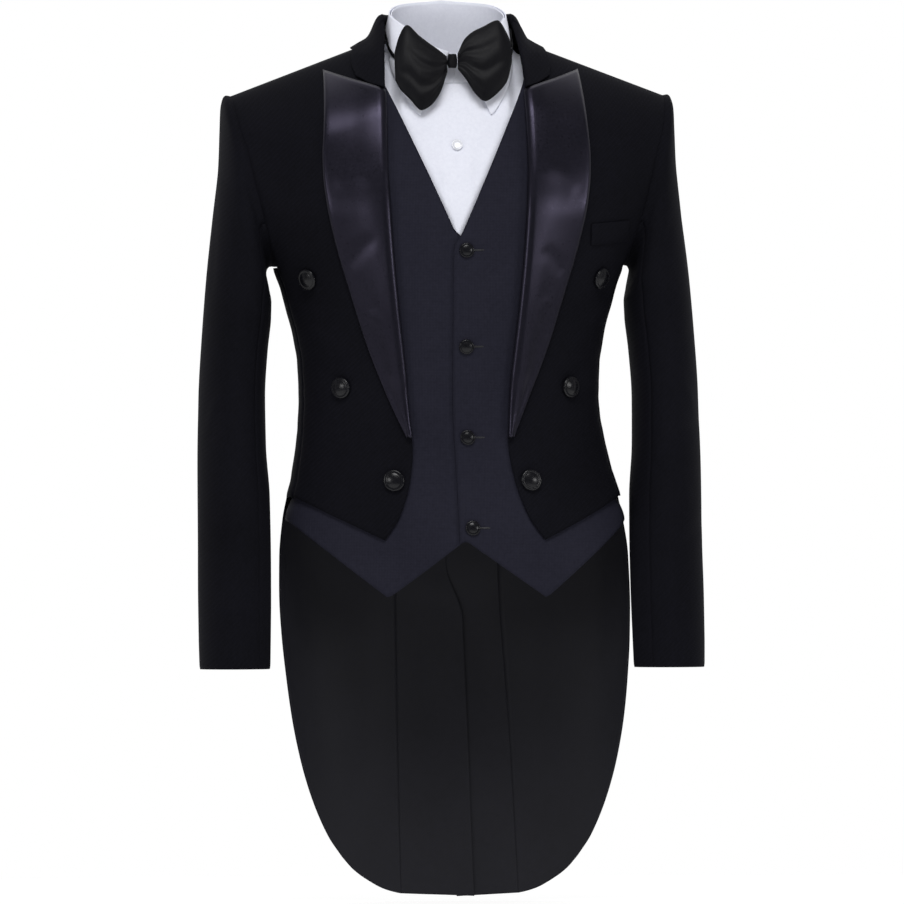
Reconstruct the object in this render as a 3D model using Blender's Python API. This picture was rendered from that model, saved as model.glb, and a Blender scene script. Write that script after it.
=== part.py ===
# Tailcoat suit worn by no one: black tailcoat with satin peak lapels, dark waistcoat,
# white shirt front with a turn-down collar, and a satin bow tie with its neck band.
# The cloth keeps the hollow, upright form that it has when it is worn.
#
# Frame: metres, +Z up, the garment's front faces -Y and its wearer's right side is at -X.
# The origin is the middle of the neck at the height where the shoulder line meets it.
# The tables below are in millimetres; MM turns them into metres when a mesh is made.

import math

import bpy
import bmesh

MM = 0.001

# Seams and layers (millimetres, measured along the outward normal of the coat's outer face)
SEAM_GAP = 0.3
COAT_WALL = 2.0
LAPEL_WALL = 2.0
WAISTCOAT_WALL = 1.6
SHIRT_WALL = 1.0
WAISTCOAT_DEPTH = 3.4
OVERLAP_DROP = 3.0
SHIRT_DEPTH = 7.8
HIDDEN_SINK = 4.3
SHIRT_SINK = 6.4

# Shoulder ridge: height above the origin at the middle, fall for each mm outwards,
# how far behind the origin it lies, and the radius over which cloth turns across it.
# Edges on the ridge stay a hair below it; BEHIND is the first turn that is behind it.
RIDGE_TOP = 46.8
RIDGE_FALL = 0.39
RIDGE_Y = 5.0
RIDGE_ROUND = 85.0
RIDGE_CLEAR = 0.0003
BEHIND = 1.0001

# Armhole: shoulder point, where its sides start to curve in, and its lowest point. Away from
# the armhole the cloth eases in more slowly, over the last share of the turn beside it.
SHOULDER_Z = -43.0
ARMHOLE_BEND_Z = -150.0
UNDERARM_Z = -227.0
UNDERARM_EASE_Z = -268.0
ARMHOLE_NEAR = 0.2
ARMHOLE_FRONT = 58.0
ARMHOLE_BACK = 60.0
ARMHOLE_STEPS = 20

# Lengths down the garment
NECK_X = 79.0
BACK_NECK_Z = 8.0
GORGE_Z = -40.0
WAIST_SEAM_Z = -475.0
FRONT_POINT_Z = -522.0
WAISTCOAT_SIDE_Z = -499.0
TAIL_Z = -908.0
SIDE_STEPS = 8
ROW_EASE = 22.0
ROW_DROP = 4.0
TAIL_STEPS = 12
FRONT_STEPS = 8

# Where the front's side seam runs, as turns at its top and at the waist, and half a seam's
# gap as a turn
FRONT_SEAM_TOP = 0.91
FRONT_SEAM_LOW = 0.86
SEAM_TURN = 0.001

# Half sections of the coat's outer face, from the neck down to the ends of the tails
BODY_COLUMNS = ("z", "half_width", "front", "back", "curve")
BODY_ROWS = (
    (60, 234, 50, 58, 0.80),
    (10, 234, 64, 70, 0.80),
    (-28, 234, 80, 82, 0.80),
    (-43, 234, 86, 87, 0.80),
    (-70, 231, 97, 95, 0.80),
    (-108, 221, 110, 106, 0.78),
    (-134, 215, 116, 112, 0.74),
    (-177, 203, 121, 116, 0.64),
    (-227, 190, 122, 112, 0.52),
    (-259, 179, 121, 106, 0.46),
    (-302, 168, 117, 96, 0.45),
    (-346, 162.5, 112, 86, 0.45),
    (-367, 162, 110, 82, 0.45),
    (-410, 166, 108, 80, 0.45),
    (-454, 175, 109, 86, 0.45),
    (-475, 181, 110, 91, 0.45),
    (-497, 187, 112, 96, 0.45),
    (-540, 193, 115, 104, 0.45),
    (-600, 197, 118, 112, 0.45),
    (-700, 200, 118, 114, 0.45),
    (-800, 200, 118, 108, 0.45),
    (-915, 200, 118, 98, 0.45),
)

# Inner edge of each coat front: the lapel's roll line, then the cut-away edge to its point
FRONT_EDGE_COLUMNS = ("z", "x")
FRONT_EDGE_ROWS = (
    (20, 79), (-22, 79), (-115, 80), (-150, 78.5), (-205, 75), (-270, 69), (-335, 61.5),
    (-389, 55.5), (-421, 52), (-454, 56), (-497, 70), (-522, 87),
)

# How far the garment leans to its wearer's left at each height, as it hangs in the photograph.
# The sleeves hang straight below the armholes.
SWAY_COLUMNS = ("z", "shift")
SWAY_ROWS = (
    (60, 0), (-360, 0), (-475, 5), (-584, 9), (-700, 14), (-840, 18), (-915, 20),
)
SWAY_END_Z = -915.0

# Curved seam between side body and back, then between tail and the back's long strip
BACK_SEAM_COLUMNS = ("z", "x")
BACK_SEAM_ROWS = (
    (-227, 181), (-245, 163), (-265, 146), (-302, 117), (-346, 90), (-389, 70),
    (-432, 59), (-475, 55), (-560, 56), (-700, 60), (-908, 64),
)

# Front edge of each tail, seen from the front, from the waist seam to its rounded end
TAIL_EDGE_COLUMNS = ("z", "x")
TAIL_EDGE_ROWS = (
    (-475, 180), (-499, 185), (-540, 190), (-583, 191), (-626, 189.5), (-670, 186),
    (-713, 181), (-756, 173), (-799, 161), (-842, 143), (-864, 128.5),
)
TAIL_HEM_COLUMNS = ("x", "z")
TAIL_HEM_ROWS = (
    (-40, -908), (45, -907), (64, -904.5), (80, -900), (100, -889), (115, -878), (128.5, -864),
)
VENT_TOP_Z = -547.0
VENT_LAP = 16.0
VENT_LAP_IN = 60.0
VENT_UNDERLAP = 3.0
VENT_DROP = 2.6
VENT_EASE = 36.0
VENT_CLEAR = 8.0
VENT_FADE = 40.0
TAIL_COLUMNS = 7

# Lapel: outer edge from the peak to the end of the roll, and the section across it
LAPEL_EDGE_COLUMNS = ("z", "x")
LAPEL_EDGE_ROWS = (
    (-18, 137), (-54, 140), (-80, 142), (-110, 144), (-130, 143.5), (-160, 140),
    (-205, 130), (-259, 114), (-313, 97), (-367, 76), (-412, 57),
)
LAPEL_SECTION_COLUMNS = ("from_roll", "share", "lift")
LAPEL_SECTION_ROWS = (
    (-2.0, 0.0, -0.6),
    (-4.0, 0.0, 2.2),
    (-2.4, 0.0, 5.4),
    (2.6, 0.0, 7.4),
    (6.0, 0.15, 6.2),
    (4.0, 0.45, 4.1),
    (2.0, 0.72, 3.2),
    (0.0, 1.0, 2.8),
)
LAPEL_END_Z = -412.0
LAPEL_STEPS = 15
LAPEL_FULL_WIDTH = 26.0
LAPEL_EDGE_LIFT = 2.8
LAPEL_END_LIFT = 0.9

# Coat collar: seam on the neck edge, top fold, and outer edge lying on the shoulders.
# "back" is 1 where the seam and edge lie behind the shoulder ridge.
COLLAR_COLUMNS = ("seam_x", "seam_z", "fold_x", "fold_y", "fold_z", "edge_x", "edge_z", "back")
COLLAR_ROWS = (
    (79, -36.5, 77.5, -83.5, -34.5, 104, -24.5, 0),
    (79, -26, 76.5, -75.0, -23.0, 107, -12.0, 0),
    (79, -12, 75.0, -61.0, -5.0, 106, -3.0, 0),
    (79, 6, 72.2, -36.0, 20.0, 103, 4.2, 0),
    (79, 15.6, 68.0, 5.0, 44.0, 102, 6.5, 1),
    (66, 13.5, 57.0, 36.0, 43.5, 90, 0.5, 1),
    (42, 10.0, 35.0, 54.0, 42.0, 60, -8.0, 1),
    (0, 8.0, 0.0, 61.5, 41.0, 0, -11.0, 1),
)
COLLAR_STEPS = 12
COLLAR_SAG = 0.2

# Sleeve rings: outermost and innermost point, half depth front to back, middle's place in Y,
# and how far the ring is free of the armhole's own curve (0 follows it, 1 is a plain oval)
SLEEVE_COLUMNS = ("outer_x", "outer_z", "inner_x", "inner_z", "half_depth", "middle_y", "free")
SLEEVE_ROWS = (
    (237, -46, 192.5, -236, 61, 3, 0.0),
    (240.5, -62, 195, -243, 64, 3, 0.35),
    (243, -88, 195.5, -250, 66, 3, 0.75),
    (247, -128, 194.5, -257, 66, 3, 1.0),
    (253, -178, 192.5, -267, 65, 3, 1.0),
    (260, -240, 193, -284, 64, 2, 1.0),
    (265.5, -306, 197, -320, 62, 1, 1.0),
    (269.5, -367, 200, -369, 60, -1, 1.0),
    (271, -420, 199.5, -420, 58, -4, 1.0),
    (271.5, -475, 196, -475, 57, -8, 1.0),
    (272, -530, 195.5, -530, 55, -13, 1.0),
    (272.5, -583, 196, -583, 53, -19, 1.0),
    (272.5, -625, 197, -625, 51, -24, 1.0),
    (272, -660, 198, -660, 50, -28, 1.0),
)
SLEEVE_START = 5.0
SLEEVE_GAP = 0.48
SLEEVE_SEAM = 0.02
SLEEVE_FRONT_SEAM = 7
SLEEVE_BACK_SEAM = -6

# Largest soft folds of the sleeves: ring where it is deepest, place round the ring
# (0 outside, 0.25 front, 0.5 inside, 0.75 back), reach along and round, depth
SLEEVE_FOLD_COLUMNS = ("ring", "place", "along", "around", "depth")
SLEEVE_FOLD_ROWS = (
    (3.0, 0.24, 1.3, 0.06, 3.2),
    (5.6, 0.20, 0.8, 0.09, 2.6),
    (7.2, 0.27, 0.7, 0.10, 3.4),
    (8.4, 0.12, 0.7, 0.12, 2.4),
    (6.4, 0.80, 0.9, 0.09, 3.0),
    (8.6, 0.72, 0.8, 0.10, 3.2),
    (10.8, 0.15, 0.8, 0.12, 2.2),
)

# Waistcoat: inner edge from shoulder through the V, button edge, hem with its two points
WAISTCOAT_EDGE_COLUMNS = ("z", "x")
WAISTCOAT_EDGE_ROWS = ((20, 82), (-10, 80), (-24, 78), (-198, -2.8))
WAISTCOAT_V_Z = -202.0
WAISTCOAT_LAP_X = -6.5
WAISTCOAT_UNDERLAP_X = 20.0
WAISTCOAT_HEM_COLUMNS = ("x", "z")
WAISTCOAT_HEM_ROWS = ((-20, -536), (0, -522), (84, -584), (188, -499))
WAISTCOAT_ARMHOLE = 0.86
WAISTCOAT_NECK_Z = -4.0
WAISTCOAT_ARMHOLE_Z = -238.0
WAISTCOAT_ARMHOLE_STEPS = 9
WAISTCOAT_SIDE_STEPS = 9
WAISTCOAT_SEAM_DROP = 6.0
WAISTCOAT_V_DROP = 14.0
WAISTCOAT_BACK_DROP = 12.0
WAISTCOAT_SHARES = (0.0, 0.15, 0.301, 0.44, 0.58, 0.72, 0.86, 1.0)
WAISTCOAT_BACK_TURNS = (
    -1.0, -0.8, -0.6, -0.4, -0.235, -0.11, 0.0, 0.11, 0.235, 0.4, 0.6, 0.8, 1.0,
)
WAISTCOAT_BUTTON_X = 8.0
WAISTCOAT_BUTTONS_Z = (-211, -315, -412, -509)
WAISTCOAT_BUTTON_R = 8.0

# Coat buttons, three a side, and the breast pocket welt on the wearer's left
COAT_BUTTON_COLUMNS = ("x", "z", "lift")
COAT_BUTTON_ROWS = ((158, -241, 0.5), (123, -358, 0.9), (73.5, -458, 0.9))
COAT_BUTTON_R = 11.5
COAT_BUTTON_H = 5.0
WELT_INNER = (145, -183, -206)
WELT_OUTER = (188, -179, -201)
WELT_WALL = 1.8

# Shirt front and yoke
SHIRT_NECK_R = 66.0
SHIRT_NECK_FRONT_Z = -28.0
SHIRT_X = (-110, -88, -66, -60, -44, -22, 0, 22, 44, 60, 66, 88, 110)
SHIRT_FRONT_Z = -232.0
SHIRT_YOKE_Z = -60.0
PLACKET_HALF = 17.0
PLACKET_RISE = 0.5
SHIRT_BUTTON_Z = -96.0
SHIRT_BUTTON_R = 6.0

# Shirt collar: top ring, and the lower edge of the turned-down leaf by angle from the front
COLLAR_TOP_RX = 60.5
COLLAR_TOP_RY = 57.0
COLLAR_TOP_Y = -7.0
COLLAR_TOP_COLUMNS = ("angle", "z")
COLLAR_TOP_ROWS = ((0, 0), (20, 8), (45, 26), (70, 37), (90, 43), (130, 54), (180, 59))
LEAF_EDGE_COLUMNS = ("angle", "x", "z")
LEAF_EDGE_ROWS = (
    (0, 3, -64),
    (33, 38, -63),
    (45, 51, -47),
    (60, 62, -26),
    (75, 67.5, -2),
    (90, 67, 16),
    (120, 56, 18),
    (150, 32.5, 19),
    (180, 0, 20),
)
LEAF_OPENING = (4.0, 33.0)
LEAF_WALL = 1.2
LEAF_STAND_OFF = 3.8
LEAF_RISE = 1.0

# Bow tie: sections of each wing from the knot to its tip (front view), and its thickness
WING_COLUMNS = ("x", "top", "bottom", "half_thick")
WING_RIGHT_ROWS = (
    (-8.6, -2.5, -20, 4.0),
    (-17.0, 4.5, -42, 5.5),
    (-28.0, 12.5, -56, 7.5),
    (-38.0, 20.5, -60.5, 8.0),
    (-50.5, 31.5, -48, 7.0),
    (-60.0, 18.0, -38, 5.0),
    (-65.0, 2.0, -28, 2.6),
)
WING_LEFT_ROWS = (
    (3.2, 0.5, -17, 4.0),
    (11.0, 16.0, -27, 5.5),
    (21.0, 24.5, -43, 7.5),
    (31.5, 29.5, -51, 8.0),
    (47.0, 36.5, -40.5, 7.0),
    (56.5, 24.0, -28, 5.0),
    (61.5, 12.0, -9, 2.6),
)
BOW_Y = -79.3
BOW_LEAN = 0.27
KNOT_X = -2.7
KNOT_Z = -7.5
KNOT_HALF = (5.3, 7.5, 8.0)
BAND_HALF_HEIGHT = 2.4
BAND_WALL = 1.0
BAND_LIFT = (1.65, 1.2)
BAND_SHARE_FRONT = 0.16
BAND_SHARE_SIDE = 0.62

# Colours as the photograph shows them, linear, with roughness
CLOTHS = {
    "wool": ((0.0045, 0.0045, 0.007), 0.85),
    "satin": ((0.010, 0.010, 0.014), 0.32),
    "waistcoat_cloth": ((0.018, 0.018, 0.030), 0.75),
    "poplin": ((0.78, 0.80, 0.90), 0.70),
    "bow_satin": ((0.012, 0.012, 0.014), 0.40),
    "button_cloth": ((0.008, 0.008, 0.011), 0.38),
    "shirt_button": ((0.75, 0.76, 0.80), 0.30),
}


def table(columns, rows):
    # A table as a dictionary of named columns
    return {name: [row[i] for row in rows] for i, name in enumerate(columns)}


BODY = table(BODY_COLUMNS, BODY_ROWS)
FRONT_EDGE = table(FRONT_EDGE_COLUMNS, FRONT_EDGE_ROWS)
SWAY = table(SWAY_COLUMNS, SWAY_ROWS)
BACK_SEAM = table(BACK_SEAM_COLUMNS, BACK_SEAM_ROWS)
TAIL_EDGE = table(TAIL_EDGE_COLUMNS, TAIL_EDGE_ROWS)
TAIL_HEM = table(TAIL_HEM_COLUMNS, TAIL_HEM_ROWS)
LAPEL_EDGE = table(LAPEL_EDGE_COLUMNS, LAPEL_EDGE_ROWS)
LAPEL_SECTION = table(LAPEL_SECTION_COLUMNS, LAPEL_SECTION_ROWS)
COLLAR = table(COLLAR_COLUMNS, COLLAR_ROWS)
SLEEVE = table(SLEEVE_COLUMNS, SLEEVE_ROWS)
SLEEVE_FOLDS = table(SLEEVE_FOLD_COLUMNS, SLEEVE_FOLD_ROWS)
WAISTCOAT_EDGE = table(WAISTCOAT_EDGE_COLUMNS, WAISTCOAT_EDGE_ROWS)
WAISTCOAT_HEM = table(WAISTCOAT_HEM_COLUMNS, WAISTCOAT_HEM_ROWS)
COLLAR_TOP = table(COLLAR_TOP_COLUMNS, COLLAR_TOP_ROWS)
LEAF_EDGE = table(LEAF_EDGE_COLUMNS, LEAF_EDGE_ROWS)
WINGS = {"r": table(WING_COLUMNS, WING_RIGHT_ROWS), "l": table(WING_COLUMNS, WING_LEFT_ROWS)}


# Small vector and curve helpers

def add(a, b, scale=1.0):
    return tuple(p + q * scale for p, q in zip(a, b))


def sub(a, b):
    return tuple(p - q for p, q in zip(a, b))


def cross(a, b):
    return (a[1] * b[2] - a[2] * b[1], a[2] * b[0] - a[0] * b[2], a[0] * b[1] - a[1] * b[0])


def unit(a):
    length = math.sqrt(sum(p * p for p in a)) or 1.0
    return tuple(p / length for p in a)


def mix(a, b, share):
    return a + (b - a) * share


def mix_point(a, b, share):
    return tuple(mix(p, q, share) for p, q in zip(a, b))


def smooth_step(value):
    value = min(max(value, 0.0), 1.0)
    return value * value * (3 - 2 * value)


def slopes(xs, ys):
    # Slopes that let a curve pass smoothly through its rows without overshooting them
    steps = [(ys[i + 1] - ys[i]) / (xs[i + 1] - xs[i]) for i in range(len(xs) - 1)]
    inner = []
    for before, after in zip(steps, steps[1:]):
        inner.append(0.0 if before * after <= 0 else 2 * before * after / (before + after))
    return [steps[0]] + inner + [steps[-1]]


def look_up(rows, key, name, value):
    # Reads column "name" where column "key" equals value, on a smooth curve
    xs = rows[key]
    ys = rows[name]
    if xs[0] > xs[-1]:
        xs = xs[::-1]
        ys = ys[::-1]
    if value <= xs[0]:
        return ys[0]
    if value >= xs[-1]:
        return ys[-1]
    tangents = slopes(xs, ys)
    i = max(j for j in range(len(xs) - 1) if xs[j] <= value)
    width = xs[i + 1] - xs[i]
    t = (value - xs[i]) / width
    h00 = 2 * t ** 3 - 3 * t ** 2 + 1
    h10 = t ** 3 - 2 * t ** 2 + t
    h01 = 3 * t ** 2 - 2 * t ** 3
    h11 = t ** 3 - t ** 2
    return h00 * ys[i] + h10 * width * tangents[i] + h01 * ys[i + 1] + h11 * width * tangents[i + 1]


def look_up_straight(rows, key, name, value):
    # As look_up, with straight lines between the rows
    pairs = sorted(zip(rows[key], rows[name]))
    value = min(max(value, pairs[0][0]), pairs[-1][0])
    for (x0, y0), (x1, y1) in zip(pairs, pairs[1:]):
        if value <= x1:
            return mix(y0, y1, (value - x0) / (x1 - x0))
    return pairs[-1][1]


def at_station(rows, name, station):
    # Reads a column at a fractional row number, on a smooth curve through the rows
    numbered = {"row": list(range(len(rows[name]))), name: rows[name]}
    return look_up(numbered, "row", name, station)


# The worn form: a place on it is "turn" (0 middle front, 1 or -1 side, 2 or -2 middle back)
# and either its height z or its way down from the shoulder ridge

def ridge_height(x):
    return RIDGE_TOP - RIDGE_FALL * abs(x)


def half_width(z):
    return look_up(BODY, "z", "half_width", z)


def armhole_depth(z, reach):
    # Half depth of the armhole: full above its bend, closing to nothing at the underarm
    if z >= ARMHOLE_BEND_Z:
        return reach
    if z <= UNDERARM_Z:
        return 0.0
    share = (ARMHOLE_BEND_Z - z) / (ARMHOLE_BEND_Z - UNDERARM_Z)
    return reach * math.sqrt(max(0.0, 1 - share * share))


def side_depth(around, z, reach):
    # Half depth that the sides of the form have: the armhole's own beside it, a softer one away
    soft = reach * (1 - smooth_step((ARMHOLE_BEND_Z - z) / (ARMHOLE_BEND_Z - UNDERARM_EASE_Z)))
    near = smooth_step((around - 1 + ARMHOLE_NEAR) / ARMHOLE_NEAR)
    return mix(soft, armhole_depth(z, reach), near)


def form_point(turn, z):
    # Point of the form at a turn and a height
    side = -1.0 if turn < 0 else 1.0
    around = abs(turn)
    behind = around > 1.0
    angle = (2.0 - around if behind else around) * math.pi / 2
    x = half_width(z) * math.sin(angle)
    depth = look_up(BODY, "z", "back" if behind else "front", z)
    near = 2.0 - around if behind else around
    edge = side_depth(near, z, ARMHOLE_BACK if behind else ARMHOLE_FRONT)
    fullness = abs(math.cos(angle)) ** (2 * look_up(BODY, "z", "curve", z))
    reach = edge + (depth - edge) * fullness
    y = reach if behind else -reach
    fall = max(0.0, ridge_height(x) - z)
    if fall < RIDGE_ROUND:
        turn_over = math.sqrt(max(0.0, 1 - (1 - fall / RIDGE_ROUND) ** 2))
        y = RIDGE_Y + (y - RIDGE_Y) * turn_over
    return (side * x, y, z)


def way_down(turn, z):
    # Way over the cloth from the ridge down to height z
    x = form_point(turn, z)[0]
    fall = max(0.0, ridge_height(x) - z)
    if fall < RIDGE_ROUND:
        return RIDGE_ROUND * math.acos(1 - fall / RIDGE_ROUND)
    return RIDGE_ROUND * math.pi / 2 + fall - RIDGE_ROUND


def form_by_way(turn, way):
    # Point of the form at a turn and a way down from the ridge; below 0 it is across the ridge
    quarter = RIDGE_ROUND * math.pi / 2
    if abs(way) < quarter:
        fall = RIDGE_ROUND * (1 - math.cos(way / RIDGE_ROUND))
    else:
        fall = RIDGE_ROUND + abs(way) - quarter
    x = half_width(SHOULDER_Z) * math.sin(abs(turn) * math.pi / 2)
    for _ in range(5):
        z = ridge_height(x) - fall
        x = abs(form_point(turn, z)[0])
    point = form_point(turn, ridge_height(x) - fall)
    if way < 0:
        point = (point[0], 2 * RIDGE_Y - point[1], point[2])
    return point


def form_normal(turn, z):
    # Outward normal; above the underarm it is taken from the near side of the armhole only
    step = 0.04
    side = -1.0 if turn < 0 else 1.0
    around = abs(turn)
    low = around - step
    high = around + step
    if z > UNDERARM_Z - 1.0:
        if around <= 1.0:
            high = min(high, 1.0)
        else:
            low = max(low, BEHIND)
    way = way_down(turn, z)
    low_sign = side if low >= 0 else -side
    across = sub(form_by_way(side * high, way), form_by_way(low_sign * abs(low), way))
    along = sub(form_by_way(turn, way - 3.0), form_by_way(turn, way + 3.0))
    normal = unit(cross(across, along))
    return tuple(-n for n in normal) if side < 0 else normal


def turn_at(x, z, behind=False):
    # Turn where the form has a given X at a height
    width = half_width(z)
    share = min(max(abs(x) / width, 0.0), 1.0)
    turn = math.asin(share) * 2 / math.pi
    if behind:
        turn = 2.0 - turn
    return math.copysign(turn, x)


def raised(turn, z, height):
    # Point of the form moved out along its normal
    return add(form_point(turn, z), form_normal(turn, z), height)


def raised_at(x, z, height, behind=False):
    return raised(turn_at(x, z, behind), z, height)


# Armhole samples: a share of the way round, from the shoulder point down the front and back up

def armhole_heights():
    # Heights that cut the front edge of the armhole into equal lengths
    count = 400
    path = [UNDERARM_Z + (SHOULDER_Z - UNDERARM_Z) * (1 - math.cos(math.pi * i / count)) / 2
            for i in range(count, -1, -1)]
    lengths = [0.0]
    for a, b in zip(path, path[1:]):
        lengths.append(lengths[-1] + math.dist(form_point(1.0, a), form_point(1.0, b)))
    heights = []
    for i in range(ARMHOLE_STEPS // 2 + 1):
        target = lengths[-1] * i / (ARMHOLE_STEPS // 2)
        j = min(range(len(path)), key=lambda n: abs(lengths[n] - target))
        heights.append(path[j])
    heights[0] = SHOULDER_Z - RIDGE_CLEAR
    heights[-1] = UNDERARM_Z + 0.15
    return heights


ARMHOLE_HEIGHTS = armhole_heights()
SIDE_HEIGHTS = [mix(UNDERARM_Z - 0.25, WAIST_SEAM_Z, i / SIDE_STEPS) for i in range(SIDE_STEPS + 1)]
TAIL_HEIGHTS = [mix(WAIST_SEAM_Z, TAIL_Z, i / TAIL_STEPS) for i in range(TAIL_STEPS + 1)]


def row_between(turns, z_inner, z_outer):
    # Heights along a row of turns: straight in X from the inner to the outer end
    shares = [math.sin(t * math.pi / 2) for t in turns]
    span = (shares[-1] - shares[0]) or 1.0
    return [(t, mix(z_inner, z_outer, (s - shares[0]) / span)) for t, s in zip(turns, shares)]


def spread(start, end, count, curve=None):
    # Evenly spaced values, or spaced by a list of shares
    shares = curve or [i / count for i in range(count + 1)]
    return [mix(start, end, s) for s in shares]


# Making meshes

def principled(name, cloth):
    colour, roughness = CLOTHS[cloth]
    material = bpy.data.materials.new(name)
    material.use_nodes = True
    shader = material.node_tree.nodes["Principled BSDF"]
    shader.inputs["Base Color"].default_value = (*colour, 1.0)
    shader.inputs["Roughness"].default_value = roughness
    shader.inputs["Metallic"].default_value = 0.0
    return material


def swayed(point, lowest):
    # A point in metres after the garment's lean, which stays as it is below the lowest height
    shift = look_up(SWAY, "z", "shift", max(point[2], lowest))
    return ((point[0] + shift) * MM, point[1] * MM, point[2] * MM)


def make_object(name, points, faces, cloth, sharp_angle=50, lowest=SWAY_END_Z):
    mesh = bpy.data.meshes.new(name)
    mesh.from_pydata([swayed(p, lowest) for p in points], [], faces)
    work = bmesh.new()
    work.from_mesh(mesh)
    bmesh.ops.recalc_face_normals(work, faces=work.faces)
    work.to_mesh(mesh)
    work.free()
    mesh.shade_smooth()
    mesh.set_sharp_from_angle(angle=math.radians(sharp_angle))
    mesh.materials.append(principled(name, cloth))
    item = bpy.data.objects.new(name, mesh)
    bpy.context.collection.objects.link(item)
    return item


def closed_wall(outer, inner):
    # Points and faces of a wall between two grids of the same size
    rows = len(outer)
    cols = len(outer[0])
    points = [p for row in outer for p in row] + [p for row in inner for p in row]
    back = rows * cols
    faces = []
    for r in range(rows - 1):
        for c in range(cols - 1):
            a = r * cols + c
            faces.append((a, a + 1, a + 1 + cols, a + cols))
            faces.append((back + a, back + a + cols, back + a + 1 + cols, back + a + 1))
    rim = [c for c in range(cols)]
    rim += [r * cols + cols - 1 for r in range(1, rows)]
    rim += [(rows - 1) * cols + c for c in range(cols - 2, -1, -1)]
    rim += [r * cols for r in range(rows - 2, 0, -1)]
    for a, b in zip(rim, rim[1:] + rim[:1]):
        faces.append((a, back + a, back + b, b))
    return points, faces


def panel(name, places, low, high, cloth, lift=None):
    # A cloth wall on the form: places is a grid of (turn, z), low and high its two faces
    outer = []
    inner = []
    for row in places:
        outer_row = []
        inner_row = []
        for turn, z in row:
            extra = lift(turn, z) if lift else 0.0
            point = form_point(turn, z)
            normal = form_normal(turn, z)
            outer_row.append(add(point, normal, high + extra))
            inner_row.append(add(point, normal, low + extra))
        outer.append(outer_row)
        inner.append(inner_row)
    points, faces = closed_wall(outer, inner)
    return make_object(name, points, faces, cloth)


def grid_normals(grid, wrap=False):
    rows = len(grid)
    cols = len(grid[0])
    normals = []
    for r in range(rows):
        line = []
        for c in range(cols):
            before = grid[r][(c - 1) % cols if wrap else max(c - 1, 0)]
            after = grid[r][(c + 1) % cols if wrap else min(c + 1, cols - 1)]
            above = grid[max(r - 1, 0)][c]
            below = grid[min(r + 1, rows - 1)][c]
            line.append(unit(cross(sub(after, before), sub(below, above))))
        normals.append(line)
    return normals


def sheet(name, grid, thick, cloth, flip=False):
    # A cloth wall whose middle is the grid
    half = -thick / 2 if flip else thick / 2
    normals = grid_normals(grid)
    outer = [[add(p, n, half) for p, n in zip(row, line)] for row, line in zip(grid, normals)]
    inner = [[add(p, n, -half) for p, n in zip(row, line)] for row, line in zip(grid, normals)]
    points, faces = closed_wall(outer, inner)
    return make_object(name, points, faces, cloth)


def loft(name, rings, cloth, sharp_angle=50):
    # A solid through closed rings, with a flat cap at each end
    count = len(rings[0])
    points = [p for ring in rings for p in ring]
    faces = []
    for r in range(len(rings) - 1):
        for c in range(count):
            a = r * count + c
            b = r * count + (c + 1) % count
            faces.append((a, b, b + count, a + count))
    faces.append(tuple(range(count))[::-1])
    faces.append(tuple((len(rings) - 1) * count + c for c in range(count)))
    return make_object(name, points, faces, cloth, sharp_angle)


def mirrored(places, side):
    return [[(t * side, z) for t, z in row] for row in places]


# Coat

def front_places():
    rows = []
    top_fall = RIDGE_TOP - RIDGE_FALL * NECK_X - UNDERARM_Z
    edge_fall = SHOULDER_Z - UNDERARM_Z
    for z_edge in ARMHOLE_HEIGHTS:
        share = (SHOULDER_Z - z_edge) / edge_fall
        z_inner = ridge_height(NECK_X) - share * (top_fall - ROW_EASE)
        inner = turn_at(look_up(FRONT_EDGE, "z", "x", z_inner), z_inner)
        if not rows:
            inner = turn_at(NECK_X, SHOULDER_Z)
            z_inner = ridge_height(NECK_X) - RIDGE_CLEAR
        rows.append(row_between(spread(inner, 1.0, FRONT_STEPS), z_inner, z_edge))
    for i, z_edge in enumerate(SIDE_HEIGHTS):
        share = i / SIDE_STEPS
        z_inner = mix(UNDERARM_Z - ROW_DROP, FRONT_POINT_Z, share)
        inner = turn_at(look_up(FRONT_EDGE, "z", "x", z_inner), z_inner)
        seam = mix(FRONT_SEAM_TOP, FRONT_SEAM_LOW, share) - SEAM_TURN
        rows.append(row_between(spread(inner, seam, FRONT_STEPS), z_inner, z_edge))
    return rows


def side_places():
    rows = []
    for i, z in enumerate(SIDE_HEIGHTS):
        share = i / SIDE_STEPS
        front = mix(FRONT_SEAM_TOP, FRONT_SEAM_LOW, share) + SEAM_TURN
        back = turn_at(look_up(BACK_SEAM, "z", "x", z) + SEAM_GAP / 2, z, behind=True)
        drop = ROW_DROP / 2 if i == 0 else 0.0
        rows.append([(t, z - drop) for t in spread(front, back, 5)])
    return rows


BACK_SHARES = (0.0, 0.11, 0.2195, 0.40, 0.60, 0.80, 1.0)


def back_neck_height(x):
    # Height of the back's top edge, from the middle of the neck out along the shoulder
    if x >= NECK_X:
        return ridge_height(x)
    return mix(BACK_NECK_Z, ridge_height(NECK_X), 1 - math.sqrt(1 - (x / NECK_X) ** 2))


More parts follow.
